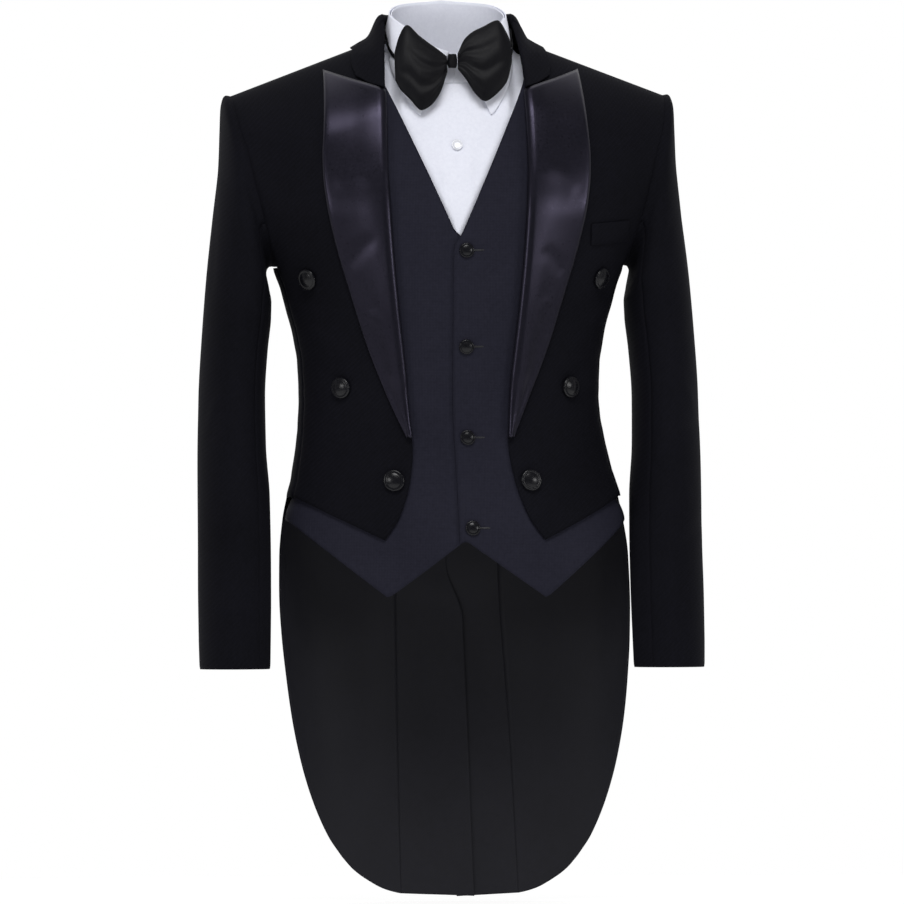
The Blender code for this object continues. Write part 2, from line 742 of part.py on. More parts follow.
def back_places(lap):
    # Back panel from the neck and shoulder down the long strip; lap moves its middle edge
    rows = []
    edge_fall = SHOULDER_Z - UNDERARM_Z
    for i, z_edge in enumerate(ARMHOLE_HEIGHTS):
        share = (SHOULDER_Z - z_edge) / edge_fall
        z_middle = mix(BACK_NECK_Z, UNDERARM_Z + ROW_EASE, share)
        middle = turn_at(SEAM_GAP / 2, z_middle, behind=True)
        row = row_between(spread(middle, BEHIND, 6, BACK_SHARES), z_middle, z_edge)
        fade = max(0.0, 1 - i / 5)
        shaped = []
        for turn, z in row:
            x = form_point(turn, z)[0]
            if i == 0:
                x = half_width(SHOULDER_Z) * math.sin((2 - turn) * math.pi / 2)
            straight = mix(BACK_NECK_Z, SHOULDER_Z, x / half_width(SHOULDER_Z))
            target = z + (back_neck_height(x) - straight) * fade
            shaped.append((turn, min(target, ridge_height(x) - RIDGE_CLEAR)))
        rows.append(shaped)
    for i, z in enumerate(SIDE_HEIGHTS[:-1]):
        drop = ROW_DROP if i == 0 else 0.0
        seam = turn_at(look_up(BACK_SEAM, "z", "x", z) - SEAM_GAP / 2, z, behind=True)
        middle = turn_at(SEAM_GAP / 2, z, behind=True)
        rows.append(row_between(spread(middle, seam, 6, BACK_SHARES), z - drop, z))
    for i, z in enumerate(TAIL_HEIGHTS):
        seam_x = look_up(BACK_SEAM, "z", "x", z)
        seam = turn_at(seam_x - SEAM_GAP / 2, z, behind=True)
        reach = smooth_step((VENT_TOP_Z - z) / VENT_LAP_IN) * lap
        middle = 2.0 - math.asin((SEAM_GAP / 2 - reach) / half_width(z)) * 2 / math.pi
        z_seam = look_up(TAIL_HEM, "x", "z", seam_x) if i == TAIL_STEPS else z
        rows.append(list(zip(spread(middle, seam, 6), spread(z, z_seam, 6))))
    return rows


def tail_places():
    rows = []
    hem_x = look_up(BACK_SEAM, "z", "x", TAIL_Z)
    tip_x = TAIL_EDGE_ROWS[-1][1]
    for i, z in enumerate(TAIL_HEIGHTS):
        share = i / TAIL_STEPS
        z_edge = mix(TAIL_EDGE_ROWS[0][0], TAIL_EDGE_ROWS[-1][0], share)
        x_edge = look_up(TAIL_EDGE, "z", "x", z_edge)
        x_seam = look_up(BACK_SEAM, "z", "x", z) + SEAM_GAP / 2
        heights = []
        for x in spread(hem_x, tip_x, TAIL_COLUMNS):
            z_hem = look_up(TAIL_HEM, "x", "z", x)
            heights.append(mix(WAIST_SEAM_Z - SEAM_GAP, z_hem, share))
        first = turn_at(x_seam, heights[0], behind=True)
        last = turn_at(x_edge, heights[-1], behind=True)
        rows.append(list(zip(spread(first, last, TAIL_COLUMNS), heights)))
    return rows


def coat_body():
    for tag, side, lap in (("r", -1, VENT_LAP), ("l", 1, VENT_UNDERLAP)):
        def vent(turn, z, tag=tag):
            # The right tail passes inside the left one near the middle, below the vent's top
            if tag == "l" or z > VENT_TOP_Z + VENT_EASE:
                return 0.0
            x = form_point(turn, z)[0]
            near = 1 - smooth_step((-x - VENT_CLEAR) / VENT_FADE)
            return -VENT_DROP * near * smooth_step((VENT_TOP_Z - z) / VENT_EASE + 1)

        def wrap(places):
            # A turn past the middle back belongs to the other side
            fixed = []
            for row in mirrored(places, side):
                fixed.append([(t - 4 * side if abs(t) > 2 else t, z) for t, z in row])
            return fixed

        panel("coat_front_" + tag, mirrored(front_places(), side), -COAT_WALL, 0.0, "wool")
        panel("coat_side_" + tag, mirrored(side_places(), side), -COAT_WALL, 0.0, "wool")
        panel("coat_back_" + tag, wrap(back_places(lap)), -COAT_WALL, 0.0, "wool", vent)
        panel("coat_tail_" + tag, mirrored(tail_places(), side), -COAT_WALL, 0.0, "wool", vent)


def sleeve_folds(ring, place):
    depth = 0.0
    for i in range(len(SLEEVE_FOLDS["ring"])):
        along = (ring - SLEEVE_FOLDS["ring"][i]) / SLEEVE_FOLDS["along"][i]
        gap = abs(place % 1.0 - SLEEVE_FOLDS["place"][i])
        around = min(gap, 1 - gap) / SLEEVE_FOLDS["around"][i]
        depth += SLEEVE_FOLDS["depth"][i] * math.exp(-along * along - around * around)
    return depth


def sleeve_point(ring, place):
    # Middle of the sleeve's wall at a ring (1 is the first row) and a place round it
    row = ring - 1
    outer = (at_station(SLEEVE, "outer_x", row), 0.0, at_station(SLEEVE, "outer_z", row))
    inner = (at_station(SLEEVE, "inner_x", row), 0.0, at_station(SLEEVE, "inner_z", row))
    middle = mix_point(outer, inner, 0.5)
    arm = tuple(p / 2 for p in sub(outer, inner))
    angle = place * 2 * math.pi
    depth = at_station(SLEEVE, "half_depth", row)
    inward = 1 - sleeve_folds(ring, place) / depth
    x = middle[0] + arm[0] * math.cos(angle) * inward
    z = middle[2] + arm[2] * math.cos(angle) * inward
    y = at_station(SLEEVE, "middle_y", row) - depth * math.sin(angle) * inward
    free = at_station(SLEEVE, "free", row)
    if free >= 1.0:
        return (x, y, z)
    edge = armhole_edge(place * ARMHOLE_STEPS)
    follow = add(add(edge[0], edge[1], -COAT_WALL / 2), edge[2], SLEEVE_START * ring)
    return mix_point(follow, (x, y, z), free)


def armhole_place(step):
    # Turn and height of the armhole's edge at a whole step round it
    step %= ARMHOLE_STEPS
    half = ARMHOLE_STEPS // 2
    if step <= half:
        return 1.0, ARMHOLE_HEIGHTS[step]
    return BEHIND, ARMHOLE_HEIGHTS[ARMHOLE_STEPS - step]


def armhole_edge(step):
    # Point, normal and direction away from the body, at a step that may lie between two
    low = math.floor(step)
    ends = []
    for whole in (low, low + 1):
        turn, z = armhole_place(whole)
        point = form_point(turn, z)
        nearer = form_point(turn - 0.02 if turn <= 1.0 else turn + 0.02, z)
        away = unit(add((1.0, 0.0, 0.0), unit(sub(point, nearer)), 0.25))
        ends.append((point, form_normal(turn, z), away))
    share = step - low
    return tuple(mix_point(a, b, share) for a, b in zip(*ends))


def sleeve_grid(first, last):
    # Outer and inner face of a sleeve panel between two steps round the armhole
    count = last - first
    rings = len(SLEEVE_ROWS)
    steps = [first + SLEEVE_SEAM] + [first + i for i in range(1, count)] + [last - SLEEVE_SEAM]
    middle = [[sleeve_point(r, s / ARMHOLE_STEPS) for s in steps] for r in range(1, rings + 1)]
    whole = [[sleeve_point(r, s / ARMHOLE_STEPS) for s in range(ARMHOLE_STEPS)]
             for r in range(1, rings + 1)]
    normals = grid_normals(whole, wrap=True)
    outer = []
    inner = []
    edge_outer = []
    edge_inner = []
    for s in steps:
        point, normal, away = armhole_edge(s)
        start = add(point, away, SLEEVE_GAP)
        edge_outer.append(start)
        edge_inner.append(add(start, normal, -COAT_WALL))
    outer.append(edge_outer)
    inner.append(edge_inner)
    for r in range(rings):
        line = [normals[r][s % ARMHOLE_STEPS] for s in range(first, last + 1)]
        outer.append([add(p, n, COAT_WALL / 2) for p, n in zip(middle[r], line)])
        inner.append([add(p, n, -COAT_WALL / 2) for p, n in zip(middle[r], line)])
    return outer, inner


def flipped(grid, side):
    return [[(p[0] * side, p[1], p[2]) for p in row] for row in grid]


def sleeves():
    pieces = (
        ("sleeve_top_", SLEEVE_BACK_SEAM, SLEEVE_FRONT_SEAM),
        ("sleeve_under_", SLEEVE_FRONT_SEAM, SLEEVE_BACK_SEAM + ARMHOLE_STEPS),
    )
    for title, first, last in pieces:
        outer, inner = sleeve_grid(first, last)
        for tag, side in (("r", -1), ("l", 1)):
            points, faces = closed_wall(flipped(outer, side), flipped(inner, side))
            make_object(title + tag, points, faces, "wool", lowest=ARMHOLE_BEND_Z)


def lapel_grid():
    grid = []
    for i in range(LAPEL_STEPS + 1):
        share = i / LAPEL_STEPS
        z_roll = mix(GORGE_Z, LAPEL_END_Z, share)
        z_edge = mix(LAPEL_EDGE_ROWS[0][0], LAPEL_END_Z, share)
        x_roll = look_up(FRONT_EDGE, "z", "x", z_roll)
        width = look_up(LAPEL_EDGE, "z", "x", z_edge) - x_roll
        shrink = min(1.0, max(0.25, width / LAPEL_FULL_WIDTH))
        ease = LAPEL_END_LIFT * smooth_step((LAPEL_END_Z + 60 - z_roll) / 50)
        row = []
        for j in range(len(LAPEL_SECTION_ROWS)):
            part = LAPEL_SECTION["share"][j]
            x = x_roll + LAPEL_SECTION["from_roll"][j] * shrink + part * width
            lift = LAPEL_SECTION["lift"][j]
            if lift > LAPEL_EDGE_LIFT:
                lift = mix(LAPEL_EDGE_LIFT, lift, max(shrink, 0.5))
            z = mix(z_roll, z_edge, max(0.0, (x - x_roll) / max(width, 1.0)))
            row.append(raised_at(x, z, lift + ease))
        grid.append(row)
    return grid


def lapels():
    grid = lapel_grid()
    for tag, side in (("r", -1), ("l", 1)):
        sheet("lapel_" + tag, flipped(grid, side), LAPEL_WALL, "satin")


def collar_station(station):
    # One section of the coat collar: up from the neck seam, over the fold, down the fall
    value = {name: at_station(COLLAR, name, station) for name in COLLAR_COLUMNS}
    behind = value["back"] > 0.5
    seam_z = min(value["seam_z"], ridge_height(value["seam_x"]) - 0.01)
    edge_z = min(value["edge_z"], ridge_height(value["edge_x"]) - 0.01)
    seam = raised_at(value["seam_x"], seam_z, -COAT_WALL / 2, behind)
    edge = raised_at(value["edge_x"], edge_z, 2.0, behind)
    fold = (value["fold_x"], value["fold_y"], value["fold_z"])
    inward = unit((-seam[0], -seam[1] * 0.8, 0.0))
    start = add(add(seam, inward, 1.5), unit(sub(fold, seam)), 1.7)
    outward = unit((edge[0] - fold[0], edge[1] - fold[1], 0.0))
    rise = unit(sub(fold, start))
    near = add(add(fold, rise, -2.4), outward, -1.2)
    past = add(add(fold, outward, 2.6), unit(sub(edge, fold)), 1.2)
    drop = COLLAR_SAG * abs(fold[2] - edge[2])
    sag = add(mix_point(fold, edge, 0.5), (0.0, 0.0, -drop))
    return [start, mix_point(start, near, 0.55), near, fold, past, sag,
            mix_point(sag, edge, 0.55), edge]


def coat_collar():
    last = len(COLLAR_ROWS) - 1
    right = [collar_station(last * i / COLLAR_STEPS) for i in range(COLLAR_STEPS + 1)]
    left = flipped(right[:-1], -1)
    sheet("coat_collar", left + right[::-1], COAT_WALL, "wool")


def domed_button(name, x, z, level, radius, height, cloth, behind=False, sides=16):
    # A cloth-covered button: a low rim, a shallow groove and a domed middle
    normal = form_normal(turn_at(x, z, behind), z)
    centre = raised_at(x, z, level, behind)
    flat = unit(cross(normal, (0.0, 0.0, 1.0)))
    up = unit(cross(flat, normal))
    profile = ((0.80, 0.0), (1.0, 0.18), (1.0, 0.5), (0.86, 0.72), (0.62, 0.80), (0.30, 0.97))
    rings = []
    for share, rise in profile:
        ring = []
        for i in range(sides):
            angle = 2 * math.pi * i / sides
            point = add(centre, flat, radius * share * math.cos(angle))
            point = add(point, up, radius * share * math.sin(angle))
            ring.append(add(point, normal, height * rise))
        rings.append(ring)
    return loft(name, rings, cloth, 40)


def coat_buttons():
    for tag, side in (("r", -1), ("l", 1)):
        for i, (x, z, lift) in enumerate(COAT_BUTTON_ROWS):
            domed_button("coat_button_%s_%d" % (tag, i + 1), x * side, z, lift,
                         COAT_BUTTON_R, COAT_BUTTON_H, "button_cloth")


def breast_welt():
    # A folded satin strip on the wearer's left front, standing 0.4 mm off the cloth
    rows = []
    for share_up in (0.0, 0.5, 1.0):
        row = []
        for share in spread(0.0, 1.0, 4):
            x = mix(WELT_INNER[0], WELT_OUTER[0], share)
            top = mix(WELT_INNER[1], WELT_OUTER[1], share)
            bottom = mix(WELT_INNER[2], WELT_OUTER[2], share)
            z = mix(top, bottom, share_up)
            row.append((turn_at(x, z), z))
        rows.append(row)
    panel("breast_welt", rows, 0.8, 0.8 + WELT_WALL, "satin")


# Waistcoat

def waistcoat_hem(x):
    return look_up_straight(WAISTCOAT_HEM, "x", "z", abs(x))


def waistcoat_edge_x(z, meeting_x):
    # The V down to where the fronts meet, then the straight button edge
    if z > WAISTCOAT_V_Z + 4:
        return max(look_up_straight(WAISTCOAT_EDGE, "z", "x", z), meeting_x)
    return meeting_x


def waistcoat_shoulder():
    # Places along the shoulder seam of a front
    row = []
    inner = turn_at(WAISTCOAT_EDGE_ROWS[0][1], SHOULDER_Z)
    for turn in spread(inner, WAISTCOAT_ARMHOLE, 7, WAISTCOAT_SHARES):
        x = half_width(SHOULDER_Z) * math.sin(turn * math.pi / 2)
        row.append((turn, ridge_height(x) - RIDGE_CLEAR))
    return row


def waistcoat_places(meeting_x):
    rows = [waistcoat_shoulder()]
    top = ridge_height(WAISTCOAT_EDGE_ROWS[0][1])
    armhole_x = half_width(SHOULDER_Z) * math.sin(WAISTCOAT_ARMHOLE * math.pi / 2)
    for i in range(1, WAISTCOAT_ARMHOLE_STEPS + 1):
        share = i / WAISTCOAT_ARMHOLE_STEPS
        if i < 3:
            share = 1 - math.cos(math.pi / 2 * share)
        z_edge = mix(ridge_height(armhole_x), WAISTCOAT_ARMHOLE_Z, share)
        z_inner = mix(top, WAISTCOAT_V_Z - ROW_DROP, share)
        inner = turn_at(waistcoat_edge_x(z_inner, meeting_x), z_inner)
        turns = spread(inner, WAISTCOAT_ARMHOLE, 7, WAISTCOAT_SHARES)
        rows.append(row_between(turns, z_inner, z_edge))
    hem_middle = waistcoat_hem(meeting_x)
    for i in range(WAISTCOAT_SIDE_STEPS + 1):
        share = i / WAISTCOAT_SIDE_STEPS
        z_edge = mix(WAISTCOAT_ARMHOLE_Z - WAISTCOAT_SEAM_DROP, WAISTCOAT_SIDE_Z, share)
        z_inner = mix(WAISTCOAT_V_Z - WAISTCOAT_V_DROP, hem_middle, share)
        inner = turn_at(meeting_x, z_inner)
        turns = spread(inner, 1.0 - SEAM_TURN, 7, WAISTCOAT_SHARES)
        straight = row_between(turns, hem_middle, WAISTCOAT_SIDE_Z)
        shaped = []
        for (turn, z), (_, end) in zip(row_between(turns, z_inner, z_edge), straight):
            hem = waistcoat_hem(form_point(turn, z)[0])
            shaped.append((turn, z + (hem - end) * share ** 2))
        rows.append(shaped)
    return rows


def waistcoat_back_places():
    rows = []
    neck_x = WAISTCOAT_EDGE_ROWS[0][1]
    for i in range(8):
        share = (i / 7) ** 1.5
        row = []
        for c in WAISTCOAT_BACK_TURNS:
            around = WAISTCOAT_ARMHOLE * abs(c)
            x = half_width(SHOULDER_Z) * math.sin(around * math.pi / 2)
            top = ridge_height(x)
            if x < neck_x:
                top = mix(WAISTCOAT_NECK_Z, ridge_height(neck_x), smooth_step(x / neck_x))
            z = mix(top - RIDGE_CLEAR, WAISTCOAT_ARMHOLE_Z, share)
            row.append((math.copysign(2 - around, c), z))
        rows.append(row)
    for i in range(8):
        z_top = WAISTCOAT_ARMHOLE_Z - WAISTCOAT_SEAM_DROP
        z = mix(z_top, WAISTCOAT_SIDE_Z + WAISTCOAT_BACK_DROP, i / 7)
        row = []
        for c in WAISTCOAT_BACK_TURNS:
            around = min(abs(c), 1 - SEAM_TURN)
            row.append((math.copysign(2 - around, c), z - WAISTCOAT_BACK_DROP * abs(c) * i / 7))
        rows.append(row)
    return rows


def waistcoat_sink(turn, z):
    # Under the coat the waistcoat lies a little deeper, clear of it
    if abs(turn) > 1:
        return -HIDDEN_SINK
    x = abs(form_point(turn, z)[0])
    edge = look_up(FRONT_EDGE, "z", "x", max(z, FRONT_EDGE_ROWS[-1][0]))
    covered = smooth_step((x - edge - 8) / 26)
    hem = smooth_step((z - WAIST_SEAM_Z + 20) / 40)
    return -HIDDEN_SINK * max(covered * hem, 0.7 * smooth_step((z + 24) / 24))


def waistcoat():
    high = -WAISTCOAT_DEPTH
    low = high - WAISTCOAT_WALL

    def under(turn, z):
        # The right front passes under the left one where they button
        x = form_point(turn, z)[0]
        below_v = smooth_step((-172 - z) / 16)
        return waistcoat_sink(turn, z) - OVERLAP_DROP * smooth_step((x + 38) / 26) * below_v

    panel("waistcoat_front_l", waistcoat_places(WAISTCOAT_LAP_X), low, high,
          "waistcoat_cloth", waistcoat_sink)
    right = mirrored(waistcoat_places(-WAISTCOAT_UNDERLAP_X), -1)
    panel("waistcoat_front_r", right, low, high, "waistcoat_cloth", under)
    panel("waistcoat_back", waistcoat_back_places(), low, high, "waistcoat_cloth",
          waistcoat_sink)
    for i, z in enumerate(WAISTCOAT_BUTTONS_Z):
        domed_button("waistcoat_button_%d" % (i + 1), WAISTCOAT_BUTTON_X, z,
                     high + 0.35, WAISTCOAT_BUTTON_R, 3.6, "button_cloth", sides=12)


# Shirt

def neck_curve(x, middle_z):
    share = min(abs(x) / SHIRT_NECK_R, 1.0)
    return mix(middle_z, ridge_height(SHIRT_NECK_R), 1 - math.sqrt(1 - share * share))


def shirt_places(middle_z, bottom_z, behind, steps):
    rows = []
    for i in range(steps + 1):
        share = (i / steps) ** 1.3
        row = []
        for x in SHIRT_X:
            top = neck_curve(x, middle_z) if abs(x) < SHIRT_NECK_R else ridge_height(x)
            z = mix(min(top, ridge_height(x) - RIDGE_CLEAR), bottom_z, share)
            turn = turn_at(x, z, behind)
            if abs(x) < 0.01:
                turn = 2.0 if behind else 0.0
            row.append((turn, z))
        rows.append(row)
    return rows


def yoke_sink(turn, z):
    # The yoke meets the shirt front on the ridge and lies under the waistcoat's back
    x = abs(form_point(turn, z)[0])
    below = smooth_step((ridge_height(x) - z) / 15)
    return -SHIRT_SINK * max(smooth_step((x - SHIRT_NECK_R - 3) / 14), below)


def shirt():
    low = -SHIRT_DEPTH - SHIRT_WALL
    high = -SHIRT_DEPTH

    def placket(turn, z):
        # Raised strip down the middle; the shirt sinks where the waistcoat covers it
        x = abs(form_point(turn, z)[0])
        edge = look_up_straight(WAISTCOAT_EDGE, "z", "x", z)
        covered = max(smooth_step((x - edge + 3) / 14), smooth_step((-190 - z) / 12),
                      smooth_step((x - 56) / 14) * smooth_step((z + 70) / 22))
        strip = PLACKET_RISE * (1 - smooth_step((x - PLACKET_HALF) / 3))
        return mix(strip, -SHIRT_SINK, covered)

    panel("shirt_front", shirt_places(SHIRT_NECK_FRONT_Z, SHIRT_FRONT_Z, False, 9),
          low, high, "poplin", placket)
    panel("shirt_yoke", shirt_places(BACK_NECK_Z - 2, SHIRT_YOKE_Z, True, 6), low, high,
          "poplin", yoke_sink)
    domed_button("shirt_button", 0.01, SHIRT_BUTTON_Z, high + 0.9, SHIRT_BUTTON_R, 2.4,
                 "shirt_button", sides=12)


def collar_ring(angle):
    # Neck seam of the shirt collar, at an angle from the middle front
    radians = math.radians(angle)
    x = SHIRT_NECK_R * math.sin(radians)
    behind = angle > 90
    middle = BACK_NECK_Z - 2 if behind else SHIRT_NECK_FRONT_Z
    z = min(neck_curve(x, middle), ridge_height(x) - 0.01)
    sink = yoke_sink(turn_at(x, z, True), z) if behind else 0.0
    return raised_at(max(x, 0.01), z, sink - SHIRT_DEPTH - SHIRT_WALL / 2, behind)


def collar_top(angle):
    radians = math.radians(angle)
    return (COLLAR_TOP_RX * math.sin(radians), COLLAR_TOP_Y - COLLAR_TOP_RY * math.cos(radians),
            look_up(COLLAR_TOP, "angle", "z", angle))


def radial(angle):
    radians = math.radians(angle)
    return (math.sin(radians), -math.cos(radians), 0.0)


def leaf_point(angle, share):
    # Middle of the turned-down leaf at an angle and a share of its height
    top = add(collar_top(angle), radial(angle), 2.1)
    x = look_up(LEAF_EDGE, "angle", "x", angle)
    z = look_up(LEAF_EDGE, "angle", "z", angle)
    if angle < 82:
        surface = raised_at(max(x, 0.01), min(z, ridge_height(x) - 0.5), -SHIRT_DEPTH + 1.3)
    else:
        seam = add(collar_ring(angle), radial(angle), LEAF_STAND_OFF)
        surface = (seam[0], seam[1], z)
    point = mix_point(top, surface, share)
    swell = mix(2.0, 0.4, smooth_step((angle - 60) / 40))
    return add(point, radial(angle), swell * math.sin(math.pi * min(share, 1.0)))


def ring_sheet(name, rows, thick, cloth):
    # A sheet round the neck from its left front to its right front
    right = rows
    left = [[(-p[0], p[1], p[2]) for p in row] for row in rows]
    grid = [l_row + r_row[::-1][1:] for l_row, r_row in zip(left, right)]
    sheet(name, grid, thick, cloth)


def shirt_collar():
    angles = spread(0.8, 180, 13)
    stand = []
    for share in (0.0, 0.5, 1.0):
        row = []
        for angle in angles:
            low = collar_ring(angle)
            high = collar_top(angle)
            start = add(low, unit(sub(high, low)), 3.3)
            row.append(mix_point(start, high, share))
        stand.append(row)
    ring_sheet("shirt_stand", stand, SHIRT_WALL, "poplin")
    leaf = []
    for share in (0.0, 0.12, 0.4, 0.7, 1.0):
        start = mix(LEAF_OPENING[0], LEAF_OPENING[1], share)
        row = []
        for angle in spread(start, 180, 14):
            point = leaf_point(angle, share)
            row.append(add(point, (0, 0, LEAF_RISE if share == 0 else 0.0)))
        leaf.append(row)
    ring_sheet("shirt_leaf", leaf, LEAF_WALL, "poplin")


# Bow tie

def band_point(angle, up):
    share = mix(BAND_SHARE_FRONT, BAND_SHARE_SIDE, smooth_step(angle / 75))
    point = leaf_point(angle, share)
    lift = LEAF_WALL / 2 + BAND_WALL / 2 + mix(*BAND_LIFT, smooth_step(angle / 80))
    return add(add(point, radial(angle), lift), (0, 0, up))


def bow_tie():
    rows = []
    for up in (BAND_HALF_HEIGHT, -BAND_HALF_HEIGHT):
        rows.append([band_point(angle, up) for angle in spread(3.0, 180, 14)])
    ring_sheet("bow_band", rows, BAND_WALL, "bow_satin")

    for tag, side in (("r", -1), ("l", 1)):
        wing = WINGS[tag]
        rings = []
        count = 14
        for station in spread(0, len(wing["x"]) - 1, 9):
            x = at_station(wing, "x", station)
            top = at_station(wing, "top", station)
            bottom = at_station(wing, "bottom", station)
            thick = at_station(wing, "half_thick", station)
            pleat = max(0.0, 1 - station / 4.5)
            ring = []
            for i in range(count):
                angle = 2 * math.pi * i / count
                across = math.cos(angle)
                z = mix(bottom, top, (across + 1) / 2)
                wave = 1 - 0.30 * pleat * (0.5 + 0.5 * math.cos(across * 3 * math.pi))
                y = BOW_Y + BOW_LEAN * z - thick * math.sin(angle) * wave
                ring.append((x, y, z))
            rings.append(ring)
        loft("bow_wing_" + tag, rings, "bow_satin", 60)

    rings = []
    for share in (-1.0, -0.8, -0.3, 0.3, 0.8, 1.0):
        swell = math.sqrt(max(0.0, 1 - (abs(share) * 0.72) ** 2.5))
        ring = []
        for i in range(12):
            angle = 2 * math.pi * i / 12
            x = KNOT_X + KNOT_HALF[0] * swell * math.cos(angle)
            y = BOW_Y + BOW_LEAN * KNOT_Z + KNOT_HALF[2] * swell * math.sin(angle)
            ring.append((x, y, KNOT_Z + KNOT_HALF[1] * share))
        rings.append(ring)
    loft("bow_knot", rings, "bow_satin", 60)


def main():
    for item in list(bpy.data.objects):
        bpy.data.objects.remove(item, do_unlink=True)
    coat_body()
    sleeves()
    lapels()
    coat_collar()
    coat_buttons()
    breast_welt()
    waistcoat()
    shirt()
    shirt_collar()
    bow_tie()


main()
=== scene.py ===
import math

import bpy
import numpy as np
from mathutils import Matrix, Vector


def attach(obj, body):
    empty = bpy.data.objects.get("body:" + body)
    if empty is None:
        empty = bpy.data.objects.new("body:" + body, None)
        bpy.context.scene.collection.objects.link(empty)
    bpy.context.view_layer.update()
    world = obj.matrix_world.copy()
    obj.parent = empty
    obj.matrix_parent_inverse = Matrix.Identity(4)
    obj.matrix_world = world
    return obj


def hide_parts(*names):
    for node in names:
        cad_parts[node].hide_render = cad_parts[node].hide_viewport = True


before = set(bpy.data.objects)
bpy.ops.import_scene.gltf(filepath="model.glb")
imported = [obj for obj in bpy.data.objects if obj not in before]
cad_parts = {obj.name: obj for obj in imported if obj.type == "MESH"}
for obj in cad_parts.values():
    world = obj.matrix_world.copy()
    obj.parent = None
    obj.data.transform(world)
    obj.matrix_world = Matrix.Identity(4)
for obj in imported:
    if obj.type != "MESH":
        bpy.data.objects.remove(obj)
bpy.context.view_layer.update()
mm = 0.001

# A place on the worn form is a turn (0 middle front, 1 or -1 side, 2 or -2 middle back)
# and a height z in millimetres. Cloth layers are set off from it along its normal.


# Small tools

def linear(code):
    # sRGB hex to the linear colour that shaders take
    out = []
    for i in (0, 2, 4):
        c = int(code[i:i + 2], 16) / 255
        out.append(c / 12.92 if c <= 0.04045 else ((c + 0.055) / 1.055) ** 2.4)
    return (*out, 1.0)


def addNode(tree, kind, links=None, **settings):
    # one node with its settings; links maps an input's name or number to a socket or a value
    node = tree.nodes.new(kind)
    for key, value in settings.items():
        setattr(node, key, value)
    for key, value in (links or {}).items():
        if isinstance(value, bpy.types.NodeSocket):
            tree.links.new(value, node.inputs[key])
        else:
            node.inputs[key].default_value = value
    return node


def easeStep(value):
    value = np.clip(value, 0.0, 1.0)
    return value * value * (3 - 2 * value)


def blendTo(a, b, share):
    return a + (b - a) * share


def columnsOf(names, rows):
    return {name: np.array([row[i] for row in rows], float) for i, name in enumerate(names)}


def softSlopes(xs, ys):
    steps = np.diff(ys) / np.diff(xs)
    inner = []
    for before, after in zip(steps, steps[1:]):
        inner.append(0.0 if before * after <= 0 else 2 * before * after / (before + after))
    return np.array([steps[0]] + inner + [steps[-1]])


def curveOf(table, key, name, count=1500):
    # a smooth curve through a table's rows, as a function that takes arrays
    xs, ys = table[key], table[name]
    if xs[0] > xs[-1]:
        xs, ys = xs[::-1], ys[::-1]
    slopes = softSlopes(xs, ys)
    fine = np.linspace(xs[0], xs[-1], count)
    i = np.clip(np.searchsorted(xs, fine, side="right") - 1, 0, len(xs) - 2)
    width = xs[i + 1] - xs[i]
    t = (fine - xs[i]) / width
    values = ((2 * t ** 3 - 3 * t ** 2 + 1) * ys[i] + (t ** 3 - 2 * t ** 2 + t) * width * slopes[i]
              + (3 * t ** 2 - 2 * t ** 3) * ys[i + 1] + (t ** 3 - t ** 2) * width * slopes[i + 1])
    return lambda value: np.interp(value, fine, values)


def straightOf(table, key, name):
    order = np.argsort(table[key])
    xs, ys = table[key][order], table[name][order]
    return lambda value: np.interp(value, xs, ys)


def stationCurves(table):
    # every column as a smooth curve over the row number
    rows = np.arange(len(next(iter(table.values()))), dtype=float)
    made = {}
    for name in table:
        made[name] = curveOf({"row": rows, name: table[name]}, "row", name)
    return made


# Sizes shared by the layers (millimetres)

seamGap = -0.04  # panels meet a hair over each other, so no light passes their seams
seamTurn = -0.0002
justBehind = 1.0001  # the turn of the armhole's back half, a hair past the side
hair = 0.01  # keeps a place off the ridge or off the middle
normalStep = {"turn": 0.04, "way": 3.0, "under": 1.0}
coatWall = 2.0
ridge = {"top": 46.8, "fall": 0.39, "y": 5.0, "round": 85.0, "clear": 0.0003}
armhole = {"shoulderZ": -43.0, "bendZ": -150.0, "underarmZ": -227.0, "front": 58.0, "back": 60.0,
           "easeZ": -268.0, "near": 0.2}
lengths = {"neckX": 79.0, "backNeckZ": 8.0, "gorgeZ": -40.0, "waistZ": -475.0, "pointZ": -522.0,
           "tailZ": -908.0, "ventTopZ": -547.0}

body = columnsOf(
    ("z", "half", "front", "back", "curve"),
    (
        (60, 234, 50, 58, 0.80),
        (10, 234, 64, 70, 0.80),
        (-28, 234, 80, 82, 0.80),
        (-43, 234, 86, 87, 0.80),
        (-70, 231, 97, 95, 0.80),
        (-108, 221, 110, 106, 0.78),
        (-134, 215, 116, 112, 0.74),
        (-177, 203, 121, 116, 0.64),
        (-227, 190, 122, 112, 0.52),
        (-259, 179, 121, 106, 0.46),
        (-302, 168, 117, 96, 0.45),
        (-346, 162.5, 112, 86, 0.45),
        (-367, 162, 110, 82, 0.45),
        (-410, 166, 108, 80, 0.45),
        (-454, 175, 109, 86, 0.45),
        (-475, 181, 110, 91, 0.45),
        (-497, 187, 112, 96, 0.45),
        (-540, 193, 115, 104, 0.45),
        (-600, 197, 118, 112, 0.45),
        (-700, 200, 118, 114, 0.45),
        (-800, 200, 118, 108, 0.45),
        (-915, 200, 118, 98, 0.45),
    ),
)
halfWidth = curveOf(body, "z", "half")
frontDepth = curveOf(body, "z", "front")
backDepth = curveOf(body, "z", "back")
bodyCurve = curveOf(body, "z", "curve")

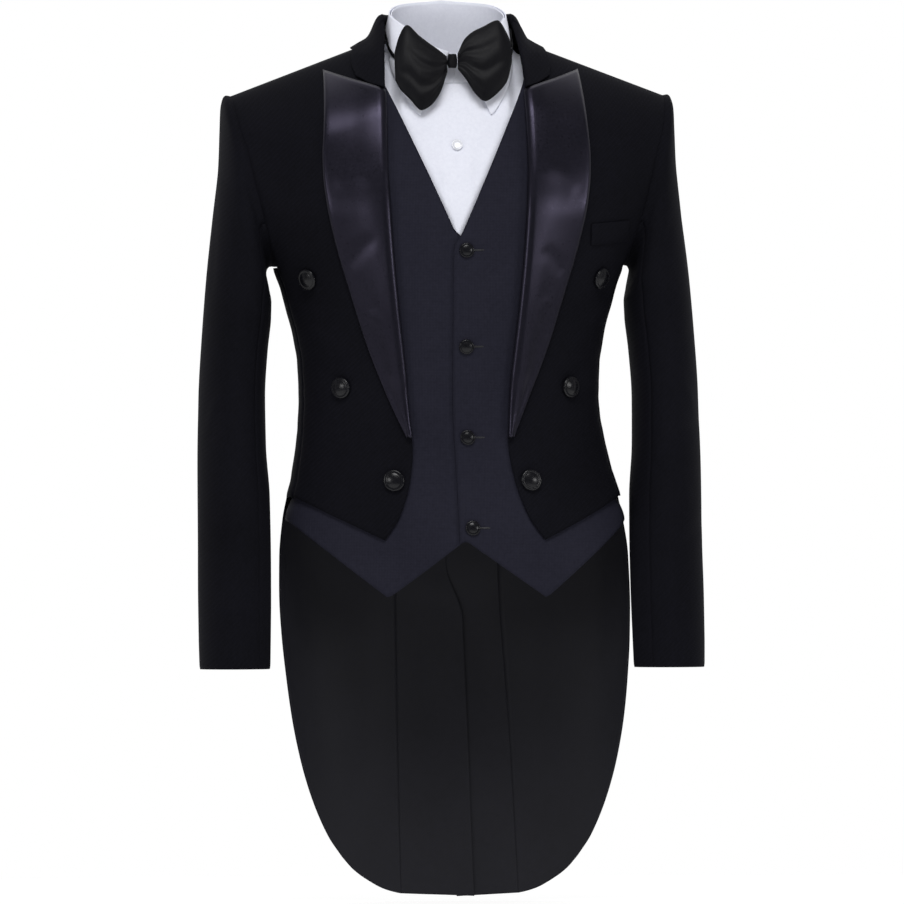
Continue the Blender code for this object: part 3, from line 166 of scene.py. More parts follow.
frontEdge = columnsOf(
    ("z", "x"),
    ((20, 79), (-22, 79), (-115, 80), (-150, 78.5), (-205, 75), (-270, 69), (-335, 61.5),
     (-389, 55.5), (-421, 52), (-454, 56), (-497, 70), (-522, 87)),
)
frontEdgeX = curveOf(frontEdge, "z", "x")
backSeam = columnsOf(
    ("z", "x"),
    ((-227, 181), (-245, 163), (-265, 146), (-302, 117), (-346, 90), (-389, 70),
     (-432, 59), (-475, 55), (-560, 56), (-700, 60), (-908, 64)),
)
backSeamX = curveOf(backSeam, "z", "x")
tailEdge = columnsOf(
    ("z", "x"),
    ((-475, 180), (-499, 185), (-540, 190), (-583, 191), (-626, 189.5), (-670, 186),
     (-713, 181), (-756, 173), (-799, 161), (-842, 143), (-864, 128.5)),
)
tailEdgeX = curveOf(tailEdge, "z", "x")
tailHem = columnsOf(
    ("x", "z"),
    ((-40, -908), (45, -907), (64, -904.5), (80, -900), (100, -889), (115, -878), (128.5, -864)),
)
tailHemZ = curveOf(tailHem, "x", "z")


# How far the garment leans to its wearer's left at each height as it hangs; sleeves hang straight
sway = columnsOf(("z", "shift"), ((60, 0), (-360, 0), (-475, 5), (-584, 9), (-700, 14), (-840, 18), (-915, 20)))
swayAt = curveOf(sway, "z", "shift")


# The worn form

def ridgeHeight(x):
    return ridge["top"] - ridge["fall"] * np.abs(x)


def armholeDepth(z, reach):
    share = np.clip((armhole["bendZ"] - z) / (armhole["bendZ"] - armhole["underarmZ"]), 0.0, 1.0)
    return reach * np.sqrt(1 - share * share)


def sideDepth(around, z, reach):
    # beside the armhole its own curve, farther away a softer one, so no crease runs across
    soft = reach * (1 - easeStep((armhole["bendZ"] - z) / (armhole["bendZ"] - armhole["easeZ"])))
    return blendTo(soft, armholeDepth(z, reach), easeStep((around - 1 + armhole["near"]) / armhole["near"]))


def formPoint(turn, z):
    turn, z = np.broadcast_arrays(np.asarray(turn, float), np.asarray(z, float))
    side = np.where(turn < 0, -1.0, 1.0)
    around = np.abs(turn)
    behind = around > 1.0
    angle = np.where(behind, 2.0 - around, around) * math.pi / 2
    x = halfWidth(z) * np.sin(angle)
    depth = np.where(behind, backDepth(z), frontDepth(z))
    edge = sideDepth(np.where(behind, 2.0 - around, around), z,
                     np.where(behind, armhole["back"], armhole["front"]))
    reach = edge + (depth - edge) * np.abs(np.cos(angle)) ** (2 * bodyCurve(z))
    y = np.where(behind, reach, -reach)
    fall = np.maximum(0.0, ridgeHeight(x) - z)
    over = np.sqrt(np.maximum(0.0, 1 - (1 - np.minimum(fall / ridge["round"], 1.0)) ** 2))
    y = np.where(fall < ridge["round"], ridge["y"] + (y - ridge["y"]) * over, y)
    return np.stack((side * x, y, z), -1)


def wayDown(turn, z):
    fall = np.maximum(0.0, ridgeHeight(formPoint(turn, z)[..., 0]) - z)
    near = np.arccos(np.clip(1 - fall / ridge["round"], -1, 1)) * ridge["round"]
    return np.where(fall < ridge["round"], near, ridge["round"] * (math.pi / 2 - 1) + fall)


def formByWay(turn, way):
    quarter = ridge["round"] * math.pi / 2
    size = np.abs(way)
    fall = np.where(size < quarter, ridge["round"] * (1 - np.cos(np.minimum(size, quarter) / ridge["round"])),
                    ridge["round"] + size - quarter)
    x = halfWidth(armhole["shoulderZ"]) * np.sin(np.abs(turn) * math.pi / 2)
    for _ in range(5):
        x = np.abs(formPoint(turn, ridgeHeight(x) - fall)[..., 0])
    point = formPoint(turn, ridgeHeight(x) - fall)
    across = 2 * ridge["y"] - point[..., 1]
    point[..., 1] = np.where(way < 0, across, point[..., 1])
    return point


def unitOf(v):
    return v / np.maximum(np.linalg.norm(v, axis=-1, keepdims=True), 1e-12)


def formNormal(turn, z):
    turn, z = np.broadcast_arrays(np.asarray(turn, float), np.asarray(z, float))
    side = np.where(turn < 0, -1.0, 1.0)
    around = np.abs(turn)
    low, high = around - normalStep["turn"], around + normalStep["turn"]
    upper = z > armhole["underarmZ"] - normalStep["under"]
    high = np.where(upper & (around <= 1.0), np.minimum(high, 1.0), high)
    low = np.where(upper & (around > 1.0), np.maximum(low, justBehind), low)
    way = wayDown(turn, z)
    lowSign = np.where(low >= 0, side, -side)
    across = formByWay(side * high, way) - formByWay(lowSign * np.abs(low), way)
    along = formByWay(turn, way - normalStep["way"]) - formByWay(turn, way + normalStep["way"])
    return unitOf(np.cross(across, along)) * np.where(side < 0, -1.0, 1.0)[..., None]


def turnAt(x, z, behind=False):
    share = np.clip(np.abs(x) / halfWidth(z), 0.0, 1.0)
    turn = np.arcsin(share) * 2 / math.pi
    turn = 2.0 - turn if behind else turn
    return np.copysign(turn, x)


def raisedAt(x, z, height, behind=False):
    turn = turnAt(x, z, behind)
    return formPoint(turn, z) + formNormal(turn, z) * np.asarray(height, float)[..., None]


# Making meshes

def makePiece(name, points, faces, materials, nodes, inside=None, sharp=None):
    # a mesh piece in millimetres, leaned as the garment hangs, that stands for its CAD nodes
    points = np.array(points, float)
    lowest = armhole["bendZ"] if name.startswith("sleeve") else sway["z"][-1]
    points[:, 0] += swayAt(np.maximum(points[:, 2], lowest))
    if sum(np.dot(points[f[0]], np.cross(points[f[1]], points[f[2]])) for f in faces) < 0:
        faces = [f[::-1] for f in faces]
    mesh = bpy.data.meshes.new(name)
    mesh.from_pydata((points * mm).tolist(), [], faces)
    for material in materials:
        mesh.materials.append(material)
    if inside is not None:
        mesh.polygons.foreach_set("material_index", np.asarray(inside, np.int32))
    mesh.shade_smooth()
    if sharp:
        mesh.set_sharp_from_angle(angle=math.radians(sharp))
    piece = bpy.data.objects.new(name, mesh)
    bpy.context.collection.objects.link(piece)
    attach(piece, "root")
    if nodes:
        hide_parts(*nodes)
    return piece


def wallFaces(rows, cols):
    # faces of a wall between an outer and an inner grid, with a rim row that rounds its edge
    index = np.arange(rows * cols).reshape(rows, cols)
    a, b, c, d = index[:-1, :-1], index[:-1, 1:], index[1:, 1:], index[1:, :-1]
    outer = np.stack((a, b, c, d), -1).reshape(-1, 4)
    back = rows * cols
    inner = np.stack((a, d, c, b), -1).reshape(-1, 4) + back
    rim = np.concatenate((index[0, :], index[1:, -1], index[-1, -2::-1], index[-2:0:-1, 0]))
    after = np.roll(rim, -1)
    middle = 2 * back + np.arange(len(rim))
    nextMiddle = np.roll(middle, -1)
    edge = np.concatenate((np.stack((rim, middle, nextMiddle, after), -1),
                           np.stack((middle, rim + back, after + back, nextMiddle), -1)))
    faces = np.concatenate((outer, inner, edge))
    inside = np.concatenate((np.zeros(len(outer)), np.ones(len(inner)), np.zeros(len(edge))))
    return rim, faces.tolist(), inside


def gridNormals(grid, wrap=False):
    if wrap:
        across = np.roll(grid, -1, 1) - np.roll(grid, 1, 1)
    else:
        across = np.gradient(grid, axis=1)
    down = np.gradient(grid, axis=0)
    return unitOf(np.cross(across, down))


def clothWall(name, outer, inner, materials, nodes, bulge=0.04):
    # closes two grids into one thin shell; its edges are drawn in a little, so they look rolled
    rows, cols = outer.shape[:2]
    rim, faces, inside = wallFaces(rows, cols)
    flatOut, flatIn = outer.reshape(-1, 3).copy(), inner.reshape(-1, 3).copy()
    middle = (flatOut[rim] + flatIn[rim]) / 2
    nearest = outer.copy()
    nearest[0], nearest[-1] = outer[1], outer[-2]
    nearest[:, 0], nearest[:, -1] = nearest[:, 1].copy(), nearest[:, -2].copy()
    drawn = unitOf(nearest.reshape(-1, 3)[rim] - flatOut[rim]) * bulge
    flatOut[rim] += drawn
    flatIn[rim] += drawn
    points = np.concatenate((flatOut, flatIn, middle))
    return makePiece(name, points, faces, materials, nodes,
                     inside if len(materials) > 1 else None)


def loftRings(rings):
    # points and faces of a solid drawn through rings of points and closed at both ends
    count = rings.shape[1]
    points = rings.reshape(-1, 3)
    faces = []
    for r in range(len(rings) - 1):
        for c in range(count):
            a, b = r * count + c, r * count + (c + 1) % count
            faces.append((a, b, b + count, a + count))
    faces.append(tuple(range(count))[::-1])
    faces.append(tuple((len(rings) - 1) * count + c for c in range(count)))
    return points, faces


def flipX(grid, side):
    return grid * np.array((side, 1.0, 1.0))


# Folds: each row is a soft trough (height below 0) or ridge (above 0) from one point to
# another, in millimetres on a flat picture of the piece: x0, z0, x1, z1, bend, half width, height.


foldShape = {"endFade": 4, "least": 0.25, "past": 1.5, "counter": 0.35, "counterWide": 2.1}


def foldField(x, z, rows):
    total = np.zeros_like(x)
    for x0, z0, x1, z1, bend, width, height in rows:
        run = math.hypot(x1 - x0, z1 - z0)
        alongX, alongZ = (x1 - x0) / run, (z1 - z0) / run
        s = ((x - x0) * alongX + (z - z0) * alongZ) / run
        inside = np.clip(s, 0.0, 1.0)
        d = (x - x0) * alongZ - (z - z0) * alongX + bend * 4 * inside * (1 - inside)
        past = np.maximum(np.maximum(-s, s - 1), 0.0) * run
        fade = easeStep(np.minimum(inside, 1 - inside) * foldShape["endFade"] + foldShape["least"])
        fade = fade * np.exp(-(past / (width * foldShape["past"])) ** 2)
        counter = foldShape["counter"] * np.exp(-(d / (foldShape["counterWide"] * width)) ** 2)
        total += height * fade * (np.exp(-(d / width) ** 2) - counter)
    return total


# Materials

def newMaterial(name):
    material = bpy.data.materials.new(name)
    material.use_nodes = True
    tree = material.node_tree
    return material, tree, tree.nodes["Principled BSDF"]


def setShader(shader, values):
    for name, value in values.items():
        shader.inputs[name].default_value = value


waveScale = 2 * math.pi / 20  # a wave texture's scale for one thread a metre
weave = {"fineShare": 0.55, "broadShare": 0.45, "broadScale": 9.0, "rampFrom": 0.30, "rampTo": 0.72,
         "roughSpread": 0.05, "broadRelief": 0.004}


# what a cloth has unless its own values say otherwise
clothBase = {"turn": (0.0, 0.0, 0.0), "weftRatio": 1.0, "softBump": 0.05, "ior": 1.5, "sheen": 0.0,
             "sheenRough": 0.3, "sheenTint": "ffffff", "anisotropic": 0.0, "glint": "ffffff",
             "coat": 0.0, "coatRough": 0.3}


def wovenCloth(name, look):
    # threads both ways, their relief and painted shade between them, soft changes of tone, sheen from fibres
    look = {**clothBase, **look}
    material, tree, shader = newMaterial(name)
    place = addNode(tree, "ShaderNodeTexCoord")
    turned = addNode(tree, "ShaderNodeMapping", {0: place.outputs["Object"], "Rotation": look["turn"]})
    warp, weft = [
        addNode(tree, "ShaderNodeTexWave",
                {0: turned.outputs[0], "Scale": look["perMetre"] * waveScale * ratio, "Distortion": uneven,
                 "Detail": 1.0, "Detail Scale": 2.0},
                wave_type="BANDS", bands_direction=way, wave_profile="SIN")
        for ratio, uneven, way in ((1.0, 0.6, "X"), (look["weftRatio"], 0.8, "Z"))
    ]
    threads = addNode(tree, "ShaderNodeMath", {0: warp.outputs[1], 1: weft.outputs[1]}, operation="MULTIPLY")
    slub = addNode(tree, "ShaderNodeTexNoise",
                   {0: place.outputs["Object"], "Scale": look["slubScale"], "Detail": 4.0, "Roughness": 0.6})
    broad = addNode(tree, "ShaderNodeTexNoise",
                    {0: place.outputs["Object"], "Scale": weave["broadScale"], "Detail": 3.0, "Roughness": 0.5})
    tone = addNode(tree, "ShaderNodeMath", {0: slub.outputs[0], 1: weave["fineShare"], 2: 0.0},
                   operation="MULTIPLY_ADD")
    toneBroad = addNode(tree, "ShaderNodeMath",
                        {0: broad.outputs[0], 1: weave["broadShare"], 2: tone.outputs[0]},
                        operation="MULTIPLY_ADD")
    colours = addNode(tree, "ShaderNodeValToRGB", {0: toneBroad.outputs[0]})
    for stop, at, shade in ((0, "rampFrom", "dark"), (1, "rampTo", "light")):
        colours.color_ramp.elements[stop].position = weave[at]
        colours.color_ramp.elements[stop].color = linear(look[shade])
    # painted shade: the colour is darkened between the threads, where the bump is low, by the share threadShade
    paintedGrooveShade = addNode(tree, "ShaderNodeMix", {0: look["threadShade"], 6: colours.outputs[0]},
                      data_type="RGBA", blend_type="MULTIPLY")
    tree.links.new(threads.outputs[0], paintedGrooveShade.inputs[7])
    tree.links.new(paintedGrooveShade.outputs[2], shader.inputs["Base Color"])
    rough = addNode(tree, "ShaderNodeMapRange",
                    {0: slub.outputs[0], 1: 0.3, 2: 0.7, 3: look["rough"] - weave["roughSpread"],
                     4: look["rough"] + weave["roughSpread"]})
    tree.links.new(rough.outputs[0], shader.inputs["Roughness"])
    raised = addNode(tree, "ShaderNodeBump", {"Height": threads.outputs[0], "Strength": look["bump"],
                                              "Distance": look["relief"] * mm})
    soft = addNode(tree, "ShaderNodeBump", {"Height": broad.outputs[0], "Strength": look["softBump"],
                                            "Distance": weave["broadRelief"], "Normal": raised.outputs[0]})
    tree.links.new(soft.outputs[0], shader.inputs["Normal"])
    setShader(shader, {"Metallic": 0.0, "IOR": look["ior"], "Specular IOR Level": look["specular"],
                       "Specular Tint": linear(look["glint"]), "Anisotropic": look["anisotropic"],
                       "Sheen Weight": look["sheen"], "Sheen Roughness": look["sheenRough"],
                       "Sheen Tint": linear(look["sheenTint"]), "Coat Weight": look["coat"],
                       "Coat Roughness": look["coatRough"]})
    return material


# Worsted wool blend, twill woven and brushed smooth: nearly black, matt, with a faint bloom at
# grazing angles. Real twill lines stand 0.5 mm apart; drawn 1.7 mm apart so that they show.
worstedTwill = wovenCloth("worstedTwill", {
    "dark": "0d0d12", "light": "17171e", "turn": (0.0, 0.78, 0.35), "perMetre": 590.0, "weftRatio": 0.45,
    "slubScale": 260.0, "threadShade": 0.35, "rough": 0.86, "bump": 0.35, "relief": 0.25, "ior": 1.46,
    "specular": 0.06, "sheen": 0.012, "sheenRough": 0.5, "sheenTint": "8a8aa0",
})
# Polyester satin, float woven and pressed: black with broad soft highlights. Floats run along
# the facing; they stand 0.1 mm apart and are drawn 0.9 mm apart.
blackSatin = wovenCloth("blackSatin", {
    "dark": "0f0f14", "light": "15151b", "turn": (0.0, 0.2, 0.0), "perMetre": 1100.0, "weftRatio": 0.2,
    "slubScale": 420.0, "threadShade": 0.12, "rough": 0.32, "bump": 0.08, "relief": 0.06, "ior": 1.52,
    "specular": 0.36, "anisotropic": 0.3, "glint": "cfc6ee",
})
# Viscose lining, twill woven and calendered: charcoal, smoother and a little lighter than wool.
viscoseLining = wovenCloth("viscoseLining", {
    "dark": "15151a", "light": "1e1e24", "turn": (0.0, 0.6, 0.0), "perMetre": 800.0, "weftRatio": 0.5,
    "slubScale": 180.0, "threadShade": 0.2, "rough": 0.62, "bump": 0.12, "relief": 0.1, "softBump": 0.08,
    "specular": 0.15, "sheen": 0.02, "sheenRough": 0.4, "sheenTint": "9090a4",
})
# Charcoal suiting, plain woven wool blend: a shade lighter and bluer than the coat, matt.
plainSuiting = wovenCloth("plainSuiting", {
    "dark": "20202b", "light": "2b2b37", "perMetre": 620.0, "slubScale": 240.0, "threadShade": 0.3,
    "rough": 0.8, "bump": 0.3, "relief": 0.22, "softBump": 0.06, "ior": 1.46, "specular": 0.08,
    "sheen": 0.02, "sheenRough": 0.5, "sheenTint": "9494b4",
})
# Cotton poplin, plain woven and ironed: white with a slight cool cast, fine grain, matt.
cottonPoplin = wovenCloth("cottonPoplin", {
    "dark": "e2e4f0", "light": "eff1fb", "perMetre": 900.0, "slubScale": 300.0, "threadShade": 0.06,
    "rough": 0.78, "bump": 0.15, "relief": 0.1, "specular": 0.2, "sheen": 0.02, "sheenRough": 0.5,
    "sheenTint": "f4f6ff",
})
# Satin for the tie, woven tighter than the facings and steamed into pleats: dark, soft gloss.
tieSatin = wovenCloth("tieSatin", {
    "dark": "0d0d10", "light": "131317", "turn": (0.0, 1.2, 0.0), "perMetre": 1000.0, "weftRatio": 0.3,
    "slubScale": 380.0, "threadShade": 0.15, "rough": 0.48, "bump": 0.12, "relief": 0.08, "softBump": 0.06,
    "ior": 1.52, "specular": 0.09, "anisotropic": 0.3,
})
print("materials made")


# Camera, light and floor

camera = {"turn": -6.0, "roll": -0.25, "distance": 26.0, "across": 0.974, "aim": (0.0036, 0.0, -0.4275)}
# The room is brightest behind the garment and below it, and dim in front, where satin mirrors it
studio = {"floorZ": -0.9125, "floorRadius": 1.6, "floorGlow": 0.86, "floorGrey": (0.16, 0.19),
          "room": "ffffff", "dim": 0.10, "bright": 1.0, "behindFrom": -0.25, "behindTo": 0.5,
          "belowFrom": -0.22, "belowTo": -0.48}

angle = math.radians(camera["turn"])
aim = Vector(camera["aim"])
back = Vector((math.sin(angle), -math.cos(angle), 0.0))
cameraData = bpy.data.cameras.new("photoCamera")
cameraData.sensor_width = 36.0
cameraData.lens = 36.0 / camera["across"] * camera["distance"]
cameraData.clip_start = 0.05
cameraData.clip_end = 120.0
cameraObject = bpy.data.objects.new("photoCamera", cameraData)
bpy.context.collection.objects.link(cameraObject)
cameraObject.rotation_mode = "QUATERNION"
cameraObject.location = aim + back * camera["distance"]
level = (-back).to_track_quat("-Z", "Y")
cameraObject.rotation_quaternion = level @ Matrix.Rotation(math.radians(camera["roll"]), 3, "Z").to_quaternion()
bpy.context.scene.camera = cameraObject

world = bpy.data.worlds.new("paleStudio")
world.use_nodes = True
roomTree = world.node_tree
backdrop = roomTree.nodes["Background"]
towards = addNode(roomTree, "ShaderNodeTexCoord")
parts = addNode(roomTree, "ShaderNodeSeparateXYZ", {0: towards.outputs["Generated"]})
behindShare = addNode(roomTree, "ShaderNodeMapRange",
                      {0: parts.outputs["Y"], 1: studio["behindFrom"], 2: studio["behindTo"],
                       3: studio["dim"], 4: studio["bright"]}, interpolation_type="SMOOTHSTEP")
belowShare = addNode(roomTree, "ShaderNodeMapRange",
                     {0: parts.outputs["Z"], 1: studio["belowFrom"], 2: studio["belowTo"],
                      3: studio["dim"], 4: studio["bright"]}, interpolation_type="SMOOTHSTEP")
roomLight = addNode(roomTree, "ShaderNodeMath", {0: behindShare.outputs[0], 1: belowShare.outputs[0]},
                    operation="MAXIMUM")
backdrop.inputs[0].default_value = linear(studio["room"])
roomTree.links.new(roomLight.outputs[0], backdrop.inputs[1])
bpy.context.scene.world = world

floorMesh = bpy.data.meshes.new("floor")
rim = np.linspace(0, 2 * math.pi, 96, endpoint=False)
floorRim = [(studio["floorRadius"] * math.cos(a), studio["floorRadius"] * math.sin(a), 0) for a in rim]
floorMesh.from_pydata(floorRim, [], [tuple(range(len(rim)))])
floor = bpy.data.objects.new("floor", floorMesh)
floor.location.z = studio["floorZ"]
bpy.context.collection.objects.link(floor)
# Opal acrylic sheet, cast and lit evenly from below: pale, matt, takes only a faint shadow
litAcrylic, floorTree, floorShader = newMaterial("litAcrylic")
setShader(floorShader, {"Roughness": 0.9, "Specular IOR Level": 0.1,
                        "Emission Color": linear(studio["room"]), "Emission Strength": studio["floorGlow"]})
cast = addNode(floorTree, "ShaderNodeTexNoise", {"Scale": 3.0, "Detail": 2.0})
shade = addNode(floorTree, "ShaderNodeMapRange",
                {0: cast.outputs[0], 3: studio["floorGrey"][0], 4: studio["floorGrey"][1]})
tint = addNode(floorTree, "ShaderNodeCombineColor", {i: shade.outputs[0] for i in range(3)})
floorTree.links.new(tint.outputs[0], floorShader.inputs["Base Color"])
floorMesh.materials.append(litAcrylic)

lightColumns = ("name", "x", "y", "z", "width", "height", "power", "aimZ")
lightRows = (
    ("leftKey", -2.4, -2.1, -0.06, 1.0, 0.7, 17.0, -0.30),
    ("rightKey", 2.5, -2.0, -0.06, 1.0, 0.7, 19.0, -0.30),
    ("frontFill", -0.3, -3.0, 2.9, 2.4, 1.4, 120.0, -0.2),
    ("topSoftbox", 0.0, 0.4, 2.6, 2.2, 1.6, 10.0, -0.3),
)
for row in lightRows:
    value = dict(zip(lightColumns, row))
    lamp = bpy.data.lights.new(value["name"], "AREA")
    lamp.shape = "RECTANGLE"
    lamp.size = value["width"]
    lamp.size_y = value["height"]
    lamp.energy = value["power"]
    lampObject = bpy.data.objects.new(value["name"], lamp)
    lampObject.location = (value["x"], value["y"], value["z"])
    lampObject.rotation_mode = "QUATERNION"
    toAim = Vector((0.0, 0.0, value["aimZ"])) - lampObject.location
    lampObject.rotation_quaternion = toAim.to_track_quat("-Z", "Y")
    bpy.context.collection.objects.link(lampObject)
bpy.context.scene.view_settings.view_transform = "Standard"
print("camera, light and floor made")


# Coat: fronts, sides, backs and tails

coat = {
    "armholeRows": 40, "underarmRows": 4, "sideRows": 62, "tailRows": 84, "frontColumns": 40,
    "sideColumns": 26, "backColumns": 36, "tailColumns": 36, "frontSeamTop": 0.91, "frontSeamLow": 0.86,
    "rowEase": 22.0, "rowDrop": 4.0, "dropRows": 6, "underarmLift": 0.15, "underarmDrop": 0.25,
    "ventLap": 16.0, "ventUnderlap": 3.0, "ventLapIn": 60.0, "ventDrop": 2.6, "ventEase": 36.0,
    "ventClear": 8.0, "ventFade": 40.0,
}


def armholeHeights(half):
    share = np.linspace(1.0, 0.0, 601)
    path = blendTo(armhole["underarmZ"], armhole["shoulderZ"], (1 - np.cos(math.pi * share)) / 2)
    points = formPoint(1.0, path)
    run = np.concatenate(([0.0], np.cumsum(np.linalg.norm(np.diff(points, axis=0), axis=1))))
    heights = np.interp(np.linspace(0.0, run[-1], half + 1), run, path)
    heights[0] = armhole["shoulderZ"] - ridge["clear"]
    heights[-1] = armhole["underarmZ"] + coat["underarmLift"]
    return heights


edgeHeights = armholeHeights(coat["armholeRows"])
sideHeights = np.linspace(armhole["underarmZ"] - coat["underarmDrop"], lengths["waistZ"],
                          coat["sideRows"] + 1)


def placeRow(innerTurn, outerTurn, innerZ, outerZ, columns):
    # one row of places, straight in X from its inner to its outer end
    turns = blendTo(innerTurn, outerTurn, np.linspace(0.0, 1.0, columns + 1))
    s = np.sin(turns * math.pi / 2)
    return np.stack((turns, blendTo(innerZ, outerZ, (s - s[0]) / (s[-1] - s[0]))), -1)


def joinRows(upper, lower, count):
    # rows under the arm, between the last row at the armhole and the first at the side seam
    steps = [blendTo(upper[-1], lower[0], (i + 1) / (count + 1)) for i in range(count)]
    return np.array(list(upper) + steps + list(lower))


def frontPlaces():
    upper, lower = [], []
    drop = ridgeHeight(lengths["neckX"]) - armhole["underarmZ"] - coat["rowEase"]
    for i, z in enumerate(edgeHeights):
        share = (armhole["shoulderZ"] - z) / (armhole["shoulderZ"] - armhole["underarmZ"])
        innerZ = ridgeHeight(lengths["neckX"]) - share * drop
        inner = turnAt(frontEdgeX(innerZ), innerZ)
        if i == 0:
            inner, innerZ = turnAt(lengths["neckX"], armhole["shoulderZ"]), innerZ - ridge["clear"]
        upper.append(placeRow(inner, 1.0, innerZ, z, coat["frontColumns"]))
    for i, z in enumerate(sideHeights):
        share = i / coat["sideRows"]
        innerZ = blendTo(armhole["underarmZ"] - coat["rowDrop"], lengths["pointZ"], share)
        inner = turnAt(frontEdgeX(innerZ), innerZ)
        seam = blendTo(coat["frontSeamTop"], coat["frontSeamLow"], share) - seamTurn
        lower.append(placeRow(inner, seam, innerZ, z, coat["frontColumns"]))
    return joinRows(upper, lower, coat["underarmRows"])


def sidePlaces():
    rows = []
    for i, z in enumerate(sideHeights):
        front = blendTo(coat["frontSeamTop"], coat["frontSeamLow"], i / coat["sideRows"]) + seamTurn
        rear = turnAt(backSeamX(z) + seamGap / 2, z, behind=True)
        down = coat["rowDrop"] / 2 * max(0.0, 1 - i / coat["dropRows"])
        turns = np.linspace(front, rear, coat["sideColumns"] + 1)
        rows.append(np.stack((turns, np.full_like(turns, z - down)), -1))
    return np.array(rows)


def backNeckHeight(x):
    rise = 1 - np.sqrt(np.maximum(0.0, 1 - (x / lengths["neckX"]) ** 2))
    curve = blendTo(lengths["backNeckZ"], ridgeHeight(lengths["neckX"]), rise)
    return np.where(x < lengths["neckX"], curve, ridgeHeight(x))


def backPlaces(lap):
    upper, lower = [], []
    shoulderWidth = halfWidth(armhole["shoulderZ"])
    for i, z in enumerate(edgeHeights):
        share = (armhole["shoulderZ"] - z) / (armhole["shoulderZ"] - armhole["underarmZ"])
        middleZ = blendTo(lengths["backNeckZ"], armhole["underarmZ"] + coat["rowEase"], share)
        row = placeRow(2.0, justBehind, middleZ, z, coat["backColumns"])
        x = formPoint(row[:, 0], row[:, 1])[:, 0]
        if i == 0:
            x = shoulderWidth * np.sin((2 - row[:, 0]) * math.pi / 2)
        straight = blendTo(lengths["backNeckZ"], armhole["shoulderZ"], x / shoulderWidth)
        fade = max(0.0, 1 - 2 * i / coat["armholeRows"])
        row[:, 1] = np.minimum(row[:, 1] + (backNeckHeight(x) - straight) * fade,
                               ridgeHeight(x) - ridge["clear"])
        upper.append(row)
    for i, z in enumerate(sideHeights[:-1]):
        down = coat["rowDrop"] * max(0.0, 1 - i / coat["dropRows"])
        seam = turnAt(backSeamX(z) - seamGap / 2, z, behind=True)
        lower.append(placeRow(2.0, seam, z - down, z, coat["backColumns"]))
    for z in np.linspace(lengths["waistZ"], lengths["tailZ"], coat["tailRows"] + 1):
        share = (lengths["waistZ"] - z) / (lengths["waistZ"] - lengths["tailZ"])
        reach = easeStep((lengths["ventTopZ"] - z) / coat["ventLapIn"]) * lap
        middle = 2.0 - math.asin((seamGap / 2 - reach) / halfWidth(z)) * 2 / math.pi
        seamZ = blendTo(lengths["waistZ"], tailHemZ(backSeamX(lengths["tailZ"])), share)
        seam = turnAt(backSeamX(seamZ) - seamGap / 2, seamZ, behind=True)
        turns = np.linspace(middle, seam, coat["backColumns"] + 1)
        lower.append(np.stack((turns, np.linspace(z, seamZ, coat["backColumns"] + 1)), -1))
    return joinRows(upper, lower, coat["underarmRows"])


def tailPlaces():
    rows = []
    hemX, tipX = backSeamX(lengths["tailZ"]), tailEdge["x"][-1]
    hem = tailHemZ(np.linspace(hemX, tipX, coat["tailColumns"] + 1))
    for share in np.linspace(0.0, 1.0, coat["tailRows"] + 1):
        edgeX = tailEdgeX(blendTo(tailEdge["z"][0], tailEdge["z"][-1], share))
        heights = blendTo(lengths["waistZ"] - seamGap, hem, share)
        first = turnAt(backSeamX(heights[0]) + seamGap / 2, heights[0], behind=True)
        last = turnAt(edgeX, heights[-1], behind=True)
        rows.append(np.stack((np.linspace(first, last, coat["tailColumns"] + 1), heights), -1))
    return np.array(rows)


def ventDip(turn, z, side):
    # below the vent's top the wearer's right tail passes inside the left one
    if side > 0:
        return np.zeros_like(z)
    x = formPoint(turn, z)[..., 0]
    near = 1 - easeStep((-x - coat["ventClear"]) / coat["ventFade"])
    return -coat["ventDrop"] * near * easeStep((lengths["ventTopZ"] - z) / coat["ventEase"])


def edgeDip(grid, deep, wide):
    # a soft fall of the cloth along all four edges, where it is turned in and pressed
    rows, cols = grid.shape[:2]
    across = np.linalg.norm(np.diff(grid, axis=1), axis=-1)
    down = np.linalg.norm(np.diff(grid, axis=0), axis=-1)
    fromLeft = np.concatenate((np.zeros((rows, 1)), np.cumsum(across, 1)), 1)
    fromTop = np.concatenate((np.zeros((1, cols)), np.cumsum(down, 0)), 0)
    near = np.minimum(np.minimum(fromLeft, fromLeft[:, -1:] - fromLeft),
                      np.minimum(fromTop, fromTop[-1:, :] - fromTop))
    return -deep * np.exp(-(near / wide) ** 2)


def formWall(name, places, side, low, high, lift, materials, node, dip=(0.5, 2.2)):
    # a wall on the form between two layers; lift adds folds and laps to both faces
    turn, z = places[..., 0] * side, places[..., 1]
    turn = np.where(np.abs(turn) > 2, turn - 4 * side, turn)
    point, normal = formPoint(turn, z), formNormal(turn, z)
    extra = lift(turn, z, point) if lift else np.zeros_like(z)
    pressed = edgeDip(point, *dip)
    outer = point + normal * (high + extra + pressed)[..., None]
    inner = point + normal * (low + extra)[..., None]
    return clothWall(name, outer, inner, materials, [node])


